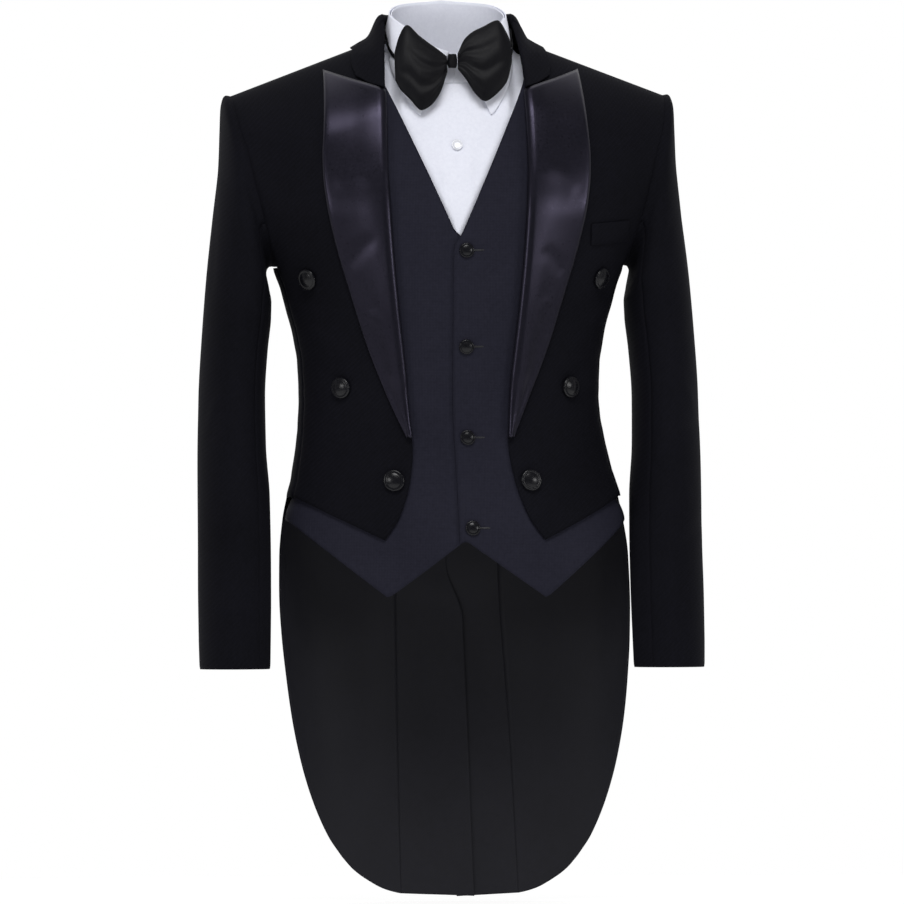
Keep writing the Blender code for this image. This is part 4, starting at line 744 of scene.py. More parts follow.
# soft creases of the fronts, in (x, z) as seen from the front, wearer's left; some differ by side
frontFolds = {
    "l": (
        (186, -232, 122, -286, 6, 9, -1.5),
        (176, -258, 118, -322, 5, 8, 1.1),
        (168, -322, 104, -352, 4, 8, -1.2),
        (164, -358, 96, -372, -4, 7, 1.0),
        (168, -392, 108, -398, 3, 8, -0.9),
        (180, -452, 140, -410, 4, 8, -0.8),
        (206, -120, 150, -168, 8, 11, -1.1),
        (214, -150, 176, -214, 5, 8, 1.0),
    ),
    "r": (
        (184, -238, 128, -276, 5, 9, -1.6),
        (178, -266, 112, -330, 6, 9, 1.0),
        (170, -316, 100, -360, 5, 8, -1.1),
        (163, -364, 92, -366, -3, 8, 0.9),
        (170, -404, 100, -388, 4, 8, -1.0),
        (182, -462, 128, -424, 5, 9, -0.9),
        (204, -130, 158, -160, 7, 10, -1.2),
        (212, -160, 172, -222, 6, 9, 0.9),
    ),
}
backFolds = {
    "l": (
        (196, -200, 92, -250, 10, 11, -1.8),
        (186, -232, 70, -286, 8, 10, 1.2),
        (120, -352, 10, -372, 4, 9, -1.4),
        (130, -384, 14, -396, -4, 8, 1.0),
        (20, -10, 110, -46, 6, 10, -1.0),
        (208, -96, 176, -196, 8, 10, -1.2),
        (70, -420, 24, -452, 3, 8, -0.9),
    ),
    "r": (
        (194, -206, 102, -242, 9, 10, -1.6),
        (188, -238, 64, -300, 8, 11, 1.1),
        (112, -358, 8, -366, 5, 9, -1.2),
        (126, -394, 20, -388, 4, 9, 0.9),
        (24, -16, 104, -52, 5, 11, -0.9),
        (206, -104, 180, -188, 7, 9, -1.3),
        (64, -430, 18, -444, 4, 8, -1.0),
    ),
}
tailFolds = {
    "l": (
        (150, -500, 138, -780, 10, 22, 2.2),
        (104, -530, 100, -840, -8, 20, -2.0),
        (176, -520, 168, -660, 6, 12, -1.2),
        (30, -580, 34, -880, 5, 16, 1.4),
    ),
    "r": (
        (146, -496, 132, -800, 9, 24, 2.0),
        (98, -540, 106, -820, -10, 20, -2.2),
        (178, -530, 166, -640, 5, 11, -1.0),
        (34, -600, 30, -870, -5, 15, 1.2),
    ),
}
coatCloth = [worstedTwill, viscoseLining]


def foldLift(rows, more=None):
    def lift(turn, z, point):
        total = foldField(np.abs(point[..., 0]), z, rows)
        return total if more is None else total + more(turn, z)
    return lift


for tag, side, lap in (("r", -1, coat["ventLap"]), ("l", 1, coat["ventUnderlap"])):
    def ventLift(turn, z, side=side):
        return ventDip(turn, z, side)
    for node, places, folds, more in (
        ("coat_front_", frontPlaces(), frontFolds[tag], None),
        ("coat_side_", sidePlaces(), frontFolds[tag], None),
        ("coat_back_", backPlaces(lap), backFolds[tag] + tailFolds[tag], ventLift),
        ("coat_tail_", tailPlaces(), tailFolds[tag], ventLift),
    ):
        name = node.replace("_", " ").title().replace(" ", "")
        name = name[0].lower() + name[1:] + "." + tag.upper()
        formWall(name, places, side, -coatWall, 0.0, foldLift(folds, more), coatCloth, node + tag)
print("coat body made")


# Sleeves

sleeveRings = columnsOf(
    ("outerX", "outerZ", "innerX", "innerZ", "depth", "middleY", "free"),
    (
        (237, -46, 192.5, -236, 61, 3, 0.0),
        (240.5, -62, 195, -243, 64, 3, 0.35),
        (243, -88, 195.5, -250, 66, 3, 0.75),
        (247, -128, 194.5, -257, 66, 3, 1.0),
        (253, -178, 192.5, -267, 65, 3, 1.0),
        (260, -240, 193, -284, 64, 2, 1.0),
        (265.5, -306, 197, -320, 62, 1, 1.0),
        (269.5, -367, 200, -369, 60, -1, 1.0),
        (271, -420, 199.5, -420, 58, -4, 1.0),
        (271.5, -475, 196, -475, 57, -8, 1.0),
        (272, -530, 195.5, -530, 55, -13, 1.0),
        (272.5, -583, 196, -583, 53, -19, 1.0),
        (272.5, -625, 197, -625, 51, -24, 1.0),
        (272, -660, 198, -660, 50, -28, 1.0),
    ),
)
sleeve = {"start": 5.0, "seam": -0.001, "frontSeam": 7, "backSeam": -6, "steps": 20, "fine": 4,
          "rows": 150, "roping": 0.4, "edgeStart": 0.04, "edgeEnd": 0.85, "edgeRings": 6, "girth": 372.0,
          "creaseFrom": 1.2, "creaseOver": 2.0, "capRing": 1.6, "capAlong": 0.9, "capAround": 0.16,
          "press": (0.6, 2.4), "nearer": 0.02, "slant": 0.25}
# the largest folds, as the solids have them: ring and place of the middle, reach, depth
sleeveHollows = (
    (3.0, 0.24, 1.3, 0.06, 3.2),
    (5.6, 0.20, 0.8, 0.09, 2.6),
    (7.2, 0.27, 0.7, 0.10, 3.4),
    (8.4, 0.12, 0.7, 0.12, 2.4),
    (6.4, 0.80, 0.9, 0.09, 3.0),
    (8.6, 0.72, 0.8, 0.10, 3.2),
    (10.8, 0.15, 0.8, 0.12, 2.2),
)
# finer creases on the sleeve laid flat: x is the way round from the outside (+ to the front)
sleeveFolds = {
    "l": (
        (60, -180, 120, -300, 8, 9, -1.3),
        (92, -210, 150, -268, 6, 7, 1.0),
        (30, -300, 110, -352, 8, 8, -1.2),
        (124, -318, 40, -388, -8, 9, 1.1),
        (20, -396, 118, -440, 9, 8, -1.4),
        (130, -424, 54, -486, -6, 8, 1.0),
        (10, -500, 90, -548, 7, 9, -1.0),
        (-40, -220, -112, -300, 8, 9, -1.4),
        (-30, -352, -120, -396, 9, 8, 1.2),
        (-44, -430, -128, -470, 7, 8, -1.3),
        (-20, -540, -96, -584, 6, 9, 0.9),
        (-8, -120, 24, -250, 6, 12, -0.9),
    ),
    "r": (
        (56, -170, 114, -310, 9, 9, -1.4),
        (96, -222, 146, -262, 5, 8, 0.9),
        (26, -312, 116, -346, 7, 8, -1.3),
        (118, -330, 34, -402, -9, 8, 1.0),
        (28, -410, 112, -434, 8, 8, -1.2),
        (126, -436, 60, -500, -7, 8, 1.1),
        (14, -520, 96, -560, 8, 9, -0.9),
        (-36, -232, -118, -290, 7, 9, -1.3),
        (-26, -366, -112, -388, 8, 9, 1.1),
        (-48, -444, -124, -462, 6, 8, -1.2),
        (-24, -556, -90, -596, 7, 9, 1.0),
        (-4, -130, 28, -262, 7, 12, -1.0),
    ),
}
ringCurves = stationCurves(sleeveRings)


def armholeEdge(place):
    # point, normal and direction away from the body at shares of the way round the armhole
    step = np.mod(place, 1.0) * 2
    front = step <= 1.0
    heights = np.interp(np.where(front, step, 2 - step), np.linspace(0, 1, len(edgeHeights)), edgeHeights)
    turn = np.where(front, 1.0, justBehind)
    point = formPoint(turn, heights)
    nearer = formPoint(np.where(front, turn - sleeve["nearer"], turn + sleeve["nearer"]), heights)
    away = unitOf(np.array((1.0, 0.0, 0.0)) + unitOf(point - nearer) * sleeve["slant"])
    return point, formNormal(turn, heights), away


def sleeveMiddle(ring, place):
    row = ring - 1.0
    value = {name: curve(row) for name, curve in ringCurves.items()}
    turn = place * 2 * math.pi
    hollow = np.zeros_like(place * ring)
    for atRing, atPlace, along, around, depth in sleeveHollows:
        gap = np.abs(np.mod(place, 1.0) - atPlace)
        gap = np.minimum(gap, 1 - gap) / around
        hollow += depth * np.exp(-((ring - atRing) / along) ** 2 - gap * gap)
    inward = 1 - hollow / value["depth"]
    x, z = [(value["outer" + axis] + value["inner" + axis]) / 2
            + (value["outer" + axis] - value["inner" + axis]) / 2 * np.cos(turn) * inward for axis in "XZ"]
    y = value["middleY"] - value["depth"] * np.sin(turn) * inward
    free = np.broadcast_to(value["free"], x.shape)[..., None]
    edge, normal, away = armholeEdge(place)
    follow = edge - normal * (coatWall / 2) + away * (sleeve["start"] * ring)[..., None]
    return follow * (1 - free) + np.stack((x, y, z), -1) * free


def sleeveGrid(first, last, folds):
    fine = sleeve["fine"]
    steps = np.linspace(first, last, (last - first) * fine + 1)
    rings = 1 + (len(sleeveRings["depth"]) - 1) * np.linspace(0, 1, sleeve["rows"] - sleeve["edgeRings"] + 1)
    nearEdge = np.linspace(sleeve["edgeStart"] / sleeve["start"], sleeve["edgeEnd"], sleeve["edgeRings"])
    rings = np.concatenate((nearEdge, rings))
    around = sleeve["steps"] * fine
    whole = sleeveMiddle(rings[:, None], np.arange(around)[None, :] / around)
    normals = gridNormals(whole, wrap=True)
    index = (np.round(steps * fine).astype(int)) % around
    places = steps.copy()
    places[0] += sleeve["seam"]
    places[-1] -= sleeve["seam"]
    middle = sleeveMiddle(rings[:, None], places[None, :] / sleeve["steps"])
    normal = normals[:, index]
    signed = places / sleeve["steps"]
    signed = np.where(signed > 0.5, signed - 1.0, signed)
    flatX = np.broadcast_to(signed * sleeve["girth"], middle.shape[:2])
    crease = foldField(flatX, middle[..., 2], folds)
    crease *= easeStep((rings - sleeve["creaseFrom"]) / sleeve["creaseOver"])[:, None]
    cap = np.exp(-((rings - sleeve["capRing"]) / sleeve["capAlong"]) ** 2)[:, None]
    crease = crease + sleeve["roping"] * cap * np.exp(-(signed / sleeve["capAround"]) ** 2)[None, :]
    pressed = edgeDip(middle, *sleeve["press"])
    outer = middle + normal * (coatWall / 2 + crease + pressed)[..., None]
    inner = middle + normal * (-coatWall / 2 + crease)[..., None]
    return outer, inner


for tag, side in (("r", -1), ("l", 1)):
    for node, first, last in (
        ("sleeve_top_", sleeve["backSeam"], sleeve["frontSeam"]),
        ("sleeve_under_", sleeve["frontSeam"], sleeve["backSeam"] + sleeve["steps"]),
    ):
        outer, inner = sleeveGrid(first, last, sleeveFolds[tag])
        name = ("sleeveTop." if "top" in node else "sleeveUnder.") + tag.upper()
        clothWall(name, flipX(outer, side), flipX(inner, side), coatCloth, [node + tag])
print("sleeves made")


# Lapels and coat collar

lapelEdge = columnsOf(
    ("z", "x"),
    ((-18, 137), (-54, 140), (-80, 142), (-110, 144), (-130, 143.5), (-160, 140),
     (-205, 130), (-259, 114), (-313, 97), (-367, 76), (-412, 57)),
)
lapelEdgeX = curveOf(lapelEdge, "z", "x")
lapelSection = columnsOf(
    ("fromRoll", "share", "lift"),
    ((-2.0, 0.0, -0.6), (-4.0, 0.0, 2.2), (-2.4, 0.0, 5.4), (2.6, 0.0, 7.4),
     (6.0, 0.15, 6.2), (4.0, 0.45, 4.1), (2.0, 0.72, 3.2), (0.0, 1.0, 2.8)),
)
lapel = {"rows": 110, "columns": 34, "endZ": -412.0, "fullWidth": 26.0, "edgeLift": 2.8, "endLift": 0.9,
         "wall": 2.0, "edgeRoll": 0.5, "edgeWide": 2.0, "narrowest": 0.25, "lowest": 0.5, "endFrom": 60.0,
         "endOver": 50.0, "creaseFrom": 8.0, "creaseOver": 10.0}
lapelFolds = {
    "l": (
        (92, -120, 128, -150, 4, 10, 0.8),
        (86, -210, 112, -236, 3, 9, -0.7),
        (82, -292, 98, -262, 3, 8, 0.6),
    ),
    "r": (
        (90, -132, 132, -142, 4, 10, 0.7),
        (84, -196, 116, -228, 4, 9, -0.8),
        (80, -300, 96, -276, 3, 8, 0.7),
    ),
}


def lapelGrid(folds):
    section = stationCurves(lapelSection)
    station = np.linspace(0, 7, lapel["columns"] + 1)
    fromRoll, part, lift = section["fromRoll"](station), section["share"](station), section["lift"](station)
    share = np.linspace(0, 1, lapel["rows"] + 1)[:, None]
    rollZ = blendTo(lengths["gorgeZ"], lapel["endZ"], share)
    edgeZ = blendTo(lapelEdge["z"][0], lapel["endZ"], share)
    rollX = frontEdgeX(rollZ)
    width = lapelEdgeX(edgeZ) - rollX
    shrink = np.clip(width / lapel["fullWidth"], lapel["narrowest"], 1.0)
    ease = lapel["endLift"] * easeStep((lapel["endZ"] + lapel["endFrom"] - rollZ) / lapel["endOver"])
    x = rollX + fromRoll * shrink + part * width
    high = np.where(lift > lapel["edgeLift"],
                    blendTo(lapel["edgeLift"], lift, np.maximum(shrink, lapel["lowest"])), lift)
    z = blendTo(rollZ, edgeZ, np.maximum(0.0, (x - rollX) / np.maximum(width, 1.0)))
    crease = foldField(x, z, folds) * easeStep((x - rollX - lapel["creaseFrom"]) / lapel["creaseOver"])
    return raisedAt(x, z, high + ease + crease)


for tag, side in (("r", -1), ("l", 1)):
    grid = lapelGrid(lapelFolds[tag])
    normals = gridNormals(grid)
    pressed = edgeDip(grid, lapel["edgeRoll"], lapel["edgeWide"])[..., None]
    toFront = np.sign(-normals[..., 1].mean())
    outer = grid + normals * toFront * (lapel["wall"] / 2 + pressed)
    inner = grid - normals * toFront * (lapel["wall"] / 2)
    clothWall("lapel." + tag.upper(), flipX(outer, side), flipX(inner, side),
              [blackSatin, worstedTwill], ["lapel_" + tag])

collarRows = columnsOf(
    ("seamX", "seamZ", "foldX", "foldY", "foldZ", "edgeX", "edgeZ", "back"),
    (
        (79, -36.5, 77.5, -83.5, -34.5, 104, -24.5, 0),
        (79, -26, 76.5, -75.0, -23.0, 107, -12.0, 0),
        (79, -12, 75.0, -61.0, -5.0, 106, -3.0, 0),
        (79, 6, 72.2, -36.0, 20.0, 103, 4.2, 0),
        (79, 15.6, 68.0, 5.0, 44.0, 102, 6.5, 1),
        (66, 13.5, 57.0, 36.0, 43.5, 90, 0.5, 1),
        (42, 10.0, 35.0, 54.0, 42.0, 60, -8.0, 1),
        (0, 8.0, 0.0, 61.5, 41.0, 0, -11.0, 1),
    ),
)
collar = {"stations": 60, "across": 26, "wall": 2.0, "sag": 0.2, "edgeLift": 2.0, "inset": 1.5, "rise": 1.7,
          "foldBelow": 2.4, "foldIn": 1.2, "foldOut": 2.6, "foldPast": 1.2, "ease": 0.55, "squash": 0.8}


def smoothLine(points, count):
    # a smooth line through a few points, read at even steps of their own spacing
    points = np.asarray(points)
    run = np.concatenate(([0.0], np.cumsum(np.linalg.norm(np.diff(points, axis=0), axis=1))))
    fine = np.linspace(0, run[-1], count + 1)
    out = []
    for axis in range(3):
        out.append(curveOf({"run": run, "v": points[:, axis]}, "run", "v", 400)(fine))
    return np.stack(out, -1)


def collarGrid():
    curves = stationCurves(collarRows)
    lines = []
    for station in np.linspace(0, 7, collar["stations"] + 1):
        value = {name: float(curve(station)) for name, curve in curves.items()}
        behind = value["back"] > 0.5
        seamZ = min(value["seamZ"], float(ridgeHeight(value["seamX"])) - hair)
        edgeZ = min(value["edgeZ"], float(ridgeHeight(value["edgeX"])) - hair)
        seam = raisedAt(np.array(value["seamX"]), np.array(seamZ), -coatWall / 2, behind)
        edge = raisedAt(np.array(value["edgeX"]), np.array(edgeZ), collar["edgeLift"], behind)
        fold = np.array((value["foldX"], value["foldY"], value["foldZ"]))
        inward = unitOf(np.array((-seam[0], -seam[1] * collar["squash"], 0.0)))
        start = seam + inward * collar["inset"] + unitOf(fold - seam) * collar["rise"]
        outward = unitOf(np.array((edge[0] - fold[0], edge[1] - fold[1], 0.0)))
        near = fold - unitOf(fold - start) * collar["foldBelow"] - outward * collar["foldIn"]
        past = fold + outward * collar["foldOut"] + unitOf(edge - fold) * collar["foldPast"]
        sag = (fold + edge) / 2 + np.array((0.0, 0.0, -collar["sag"] * abs(fold[2] - edge[2])))
        lines.append(smoothLine([start, blendTo(start, near, collar["ease"]), near, fold, past, sag,
                                 blendTo(sag, edge, collar["ease"]), edge], collar["across"]))
    return np.array(lines)


right = collarGrid()
grid = np.concatenate((flipX(right[:-1], -1), right[::-1]))
normals = gridNormals(grid)
out = np.sign((normals[:, -3] * unitOf(grid[:, -3] * np.array((1, 1, 0.0)))).sum())
clothWall("coatCollar", grid + normals * out * (collar["wall"] / 2),
          grid - normals * out * (collar["wall"] / 2), [worstedTwill], ["coat_collar"])
print("lapels and collar made")


# Buttons and breast welt

gathers = 9  # puckers round a covered button


def domedButton(name, x, z, lift, size, cloth, node, behind=False):
    # cloth drawn over a shell: a low rim, a groove and a dome, slightly uneven where it is gathered
    turn = turnAt(np.array(float(x)), np.array(float(z)), behind)
    normal = formNormal(turn, z)
    centre = formPoint(turn, z) + normal * lift
    flat = unitOf(np.cross(normal, np.array((0.0, 0.0, 1.0))))
    up = unitOf(np.cross(flat, normal))
    line = smoothLine([(share, rise, 0.0) for share, rise in size["profile"]], size["rings"])
    turns = np.linspace(0, 2 * math.pi, size["sides"], endpoint=False)
    rings = []
    for share, rise, _ in line:
        wave = 1 + size["gather"] * np.sin(turns * gathers + x) * share ** 3
        rings.append(centre + np.outer(np.cos(turns) * share * size["radius"] * wave, flat)
                     + np.outer(np.sin(turns) * share * size["radius"] * wave, up)
                     + normal * rise * size["height"])
    points, faces = loftRings(np.array(rings))
    return makePiece(name, points, faces, [cloth], [node])


coatButton = {"radius": 11.5, "height": 5.0, "sides": 48, "rings": 22, "gather": 0.008,
              "profile": ((0.80, 0.0), (1.0, 0.18), (1.0, 0.5), (0.86, 0.74), (0.74, 0.70), (0.62, 0.80),
                          (0.30, 0.99), (0.04, 1.05)),
              "places": ((158, -241, 0.5), (123, -358, 0.9), (73.5, -458, 0.9))}
# Satin stretched over a button: the same cloth as the facings, tighter, so a harder gloss
coveredSatin = wovenCloth("coveredSatin", {
    "dark": "0c0c10", "light": "121217", "turn": (0.0, 0.2, 0.0), "perMetre": 1300.0, "weftRatio": 0.3,
    "slubScale": 700.0, "threadShade": 0.12, "rough": 0.26, "bump": 0.1, "relief": 0.06, "ior": 1.52,
    "specular": 0.26,
})
for tag, side in (("r", -1), ("l", 1)):
    for i, (x, z, lift) in enumerate(coatButton["places"]):
        domedButton("coatButton.%s%d" % (tag.upper(), i + 1), x * side, z, lift, coatButton, coveredSatin,
                    "coat_button_%s_%d" % (tag, i + 1))

welt = {"inner": (145, -183, -206), "outer": (188, -179, -201), "low": 0.8, "wall": 1.8,
        "rows": 16, "columns": 34, "puff": 0.5}
share = np.linspace(0, 1, welt["columns"] + 1)[None, :]
up = np.linspace(0, 1, welt["rows"] + 1)[:, None]
x = blendTo(welt["inner"][0], welt["outer"][0], share) + 0 * up
z = blendTo(blendTo(welt["inner"][1], welt["outer"][1], share),
            blendTo(welt["inner"][2], welt["outer"][2], share), up)
formWall("breastWelt", np.stack((turnAt(x, z), z), -1), 1, welt["low"], welt["low"] + welt["wall"],
         lambda turn, height, point: welt["puff"] * np.sin(math.pi * up) * np.ones_like(height),
         [worstedTwill], "breast_welt", dip=(0.9, 2.6))
print("buttons and welt made")


# Waistcoat

waistcoat = {
    "depth": 3.4, "wall": 1.6, "overlapDrop": 3.0, "hiddenSink": 4.3, "vZ": -202.0, "lapX": -6.5,
    "underlapX": 20.0, "armhole": 0.86, "armholeZ": -238.0, "sideZ": -499.0, "topX": 82.0,
    "neckZ": -4.0, "columns": 56, "upperRows": 60, "lowerRows": 78, "joinRows": 2, "seamDrop": 6.0,
    "vDrop": 14.0, "backDrop": 12.0, "buttonX": 8.0, "buttonsZ": (-211, -315, -412, -509),
    "edgeDip": (0.45, 1.8), "coverGap": 8.0, "coverEase": 26.0, "coverLow": -495.0, "coverLowEase": 40.0,
    "yokeShare": 0.7, "yokeEase": 24.0, "tuckFrom": 38.0, "tuckOver": 26.0, "tuckZ": -180.0, "tuckEase": 14.0,
    "backRows": 40, "backLowRows": 60, "backPower": 1.5, "bendFrom": 0.15, "bendOver": 0.2, "vInset": 4.0,
}
waistcoatHem = straightOf(columnsOf(("x", "z"), ((-20, -536), (0, -522), (84, -584), (188, -499))), "x", "z")
waistcoatFolds = {
    "l": (
        (8, -412, 62, -420, 2, 5, -1.3),
        (8, -408, 54, -396, 3, 5, 1.0),
        (10, -430, 58, -446, -3, 5, -1.1),
        (12, -316, 56, -330, 3, 5, -0.9),
        (10, -500, 60, -470, 4, 6, -1.2),
        (12, -516, 70, -500, 4, 6, 1.0),
        (30, -440, 80, -430, 3, 6, 0.9),
        (60, -190, 20, -250, 5, 8, -0.8),
        (150, -440, 96, -486, 6, 8, -1.2),
        (24, -540, 70, -560, 4, 7, -0.8),
    ),
    "r": (
        (-4, -416, -58, -430, 2, 5, -1.2),
        (-4, -404, -60, -398, 3, 5, 0.9),
        (-4, -424, -40, -450, -3, 5, -1.3),
        (-4, -318, -50, -336, 3, 5, -1.0),
        (-2, -506, -52, -480, 4, 6, -1.1),
        (-8, -460, -62, -440, 4, 6, 1.0),
        (-10, -520, -72, -508, 3, 6, 0.9),
        (-62, -196, -24, -252, 5, 8, -0.9),
        (-146, -450, -90, -480, 6, 8, -1.1),
        (-20, -546, -66, -552, 4, 7, -0.9),
    ),
}


def waistcoatSink(turn, z):
    # where the coat covers it, the waistcoat lies a little deeper, clear of the coat
    x = np.abs(formPoint(turn, z)[..., 0])
    edge = frontEdgeX(np.maximum(z, lengths["pointZ"]))
    covered = easeStep((x - edge - waistcoat["coverGap"]) / waistcoat["coverEase"])
    covered = covered * easeStep((z - waistcoat["coverLow"]) / waistcoat["coverLowEase"])
    yoke = waistcoat["yokeShare"] * easeStep((z + waistcoat["yokeEase"]) / waistcoat["yokeEase"])
    front = -waistcoat["hiddenSink"] * np.maximum(covered, yoke)
    return np.where(np.abs(turn) > 1, -waistcoat["hiddenSink"], front)


def waistcoatFront(meetingX):
    edgeX = straightOf(columnsOf(("z", "x"), ((20, 82), (-10, 80), (-24, 78), (-189.5, 4.9),
                                             (-210, meetingX))), "z", "x")
    columns = np.linspace(0, 1, waistcoat["columns"] + 1)
    shoulderWidth = halfWidth(armhole["shoulderZ"])
    armholeX = shoulderWidth * math.sin(waistcoat["armhole"] * math.pi / 2)
    top = float(ridgeHeight(waistcoat["topX"]))
    turns = blendTo(turnAt(waistcoat["topX"], armhole["shoulderZ"]), waistcoat["armhole"], columns)
    shoulder = ridgeHeight(shoulderWidth * np.sin(turns * math.pi / 2)) - ridge["clear"]
    upper = [np.stack((turns, shoulder), -1)]
    for i in range(1, waistcoat["upperRows"] + 1):
        share = i / waistcoat["upperRows"]
        bend = easeStep((share - waistcoat["bendFrom"]) / waistcoat["bendOver"])
        share = blendTo(1 - math.cos(math.pi / 2 * share), share, bend)
        edgeZ = blendTo(float(ridgeHeight(armholeX)), waistcoat["armholeZ"], share)
        innerZ = blendTo(top, waistcoat["vZ"] - waistcoat["vInset"], share)
        upper.append(placeRow(turnAt(edgeX(innerZ), innerZ), waistcoat["armhole"], innerZ, edgeZ,
                              waistcoat["columns"]))
    lower = []
    hemMiddle = float(waistcoatHem(abs(meetingX)))
    for i in range(waistcoat["lowerRows"] + 1):
        share = i / waistcoat["lowerRows"]
        edgeZ = blendTo(waistcoat["armholeZ"] - waistcoat["seamDrop"], waistcoat["sideZ"], share)
        innerZ = blendTo(waistcoat["vZ"] - waistcoat["vDrop"], hemMiddle, share)
        inner = turnAt(meetingX, innerZ)
        row = placeRow(inner, 1.0 - seamTurn, innerZ, edgeZ, waistcoat["columns"])
        straight = placeRow(inner, 1.0 - seamTurn, hemMiddle, waistcoat["sideZ"], waistcoat["columns"])
        x = np.abs(formPoint(row[:, 0], row[:, 1])[:, 0])
        row[:, 1] += (waistcoatHem(x) - straight[:, 1]) * share ** 2
        lower.append(row)
    return joinRows(upper, lower, waistcoat["joinRows"])


def waistcoatBack():
    turns = np.linspace(-1.0, 1.0, 2 * waistcoat["columns"] + 1)
    size = np.abs(turns)
    around = waistcoat["armhole"] * size
    x = halfWidth(armhole["shoulderZ"]) * np.sin(around * math.pi / 2)
    neck = blendTo(waistcoat["neckZ"], float(ridgeHeight(waistcoat["topX"])), easeStep(x / waistcoat["topX"]))
    top = np.where(x < waistcoat["topX"], neck, ridgeHeight(x)) - ridge["clear"]
    upper, lower = [], []
    for share in np.linspace(0, 1, waistcoat["backRows"] + 1):
        z = blendTo(top, waistcoat["armholeZ"], share ** waistcoat["backPower"])
        upper.append(np.stack((np.copysign(2 - around, turns), z), -1))
    wide = np.minimum(size, 1 - seamTurn)
    sideTop, sideLow = waistcoat["armholeZ"] - waistcoat["seamDrop"], waistcoat["sideZ"] + waistcoat["backDrop"]
    for share in np.linspace(0, 1, waistcoat["backLowRows"] + 1):
        z = blendTo(sideTop, sideLow, share) - waistcoat["backDrop"] * size * share
        lower.append(np.stack((np.copysign(2 - wide, turns), z), -1))
    return joinRows(upper, lower, waistcoat["joinRows"])


def waistcoatLift(rows, tucked):
    def lift(turn, z, point):
        x = point[..., 0]
        total = waistcoatSink(turn, z) + foldField(x, z, rows)
        if tucked:  # the right front passes under the left one
            near = easeStep((x + waistcoat["tuckFrom"]) / waistcoat["tuckOver"])
            below = easeStep((waistcoat["tuckZ"] - z) / waistcoat["tuckEase"])
            total -= waistcoat["overlapDrop"] * near * below
        return total
    return lift


vestCloth = [plainSuiting, viscoseLining]
low, high = -waistcoat["depth"] - waistcoat["wall"], -waistcoat["depth"]
for tag, side, meetingX in (("l", 1, waistcoat["lapX"]), ("r", -1, -waistcoat["underlapX"])):
    formWall("waistcoatFront." + tag.upper(), waistcoatFront(meetingX), side, low, high,
             waistcoatLift(waistcoatFolds[tag], tag == "r"), vestCloth, "waistcoat_front_" + tag,
             dip=waistcoat["edgeDip"])
formWall("waistcoatBack", waistcoatBack(), 1, low, high,
         lambda turn, z, point: waistcoatSink(turn, z), vestCloth, "waistcoat_back")

waistcoatButton = {"radius": 8.0, "height": 3.6, "sit": 0.35, "sides": 40, "rings": 18, "gather": 0.008,
                   "profile": coatButton["profile"]}
for i, z in enumerate(waistcoat["buttonsZ"]):
    domedButton("waistcoatButton.%d" % (i + 1), waistcoat["buttonX"], z, high + waistcoatButton["sit"],
                waistcoatButton, coveredSatin, "waistcoat_button_%d" % (i + 1))

# Silk buttonhole twist, worked close: a raised dark bar with a fine rib across it
buttonholeTwist = wovenCloth("buttonholeTwist", {
    "dark": "111117", "light": "1b1b24", "perMetre": 1400.0, "weftRatio": 0.1, "slubScale": 500.0,
    "threadShade": 0.5, "rough": 0.5, "bump": 0.5, "relief": 0.25, "softBump": 0.02, "specular": 0.45,
    "sheen": 0.1, "sheenRough": 0.4, "sheenTint": "8888a0",
})
buttonhole = {"from": -4.0, "to": 19.5, "half": 1.1, "rise": 0.55, "steps": 40, "sides": 10,
              "endThin": 0.8, "thinPower": 8, "risePower": 6, "clear": 0.1}
for i, z in enumerate(waistcoat["buttonsZ"]):
    run = np.linspace(buttonhole["from"], buttonhole["to"], buttonhole["steps"] + 1) + waistcoat["buttonX"]
    middle = np.linspace(-1, 1, buttonhole["steps"] + 1)
    thick = buttonhole["half"] * (1 - buttonhole["endThin"] * np.abs(middle) ** buttonhole["thinPower"])
    turns = np.linspace(0, 2 * math.pi, buttonhole["sides"], endpoint=False)
    x = np.broadcast_to(run[:, None], (len(run), len(turns)))
    height = z + thick[:, None] * np.sin(turns)[None, :]
    place = turnAt(x, height)
    lift = high + foldField(x, height, waistcoatFolds["l"]) + buttonhole["clear"]
    ends = (1 - np.abs(middle) ** buttonhole["risePower"])[:, None]
    lift = lift + buttonhole["rise"] * np.cos(turns)[None, :] * ends
    points, faces = loftRings(formPoint(place, height) + formNormal(place, height) * lift[..., None])
    makePiece("waistcoatButtonhole.%d" % (i + 1), points, faces, [buttonholeTwist], [])
print("waistcoat made")


# Shirt front, yoke and collar

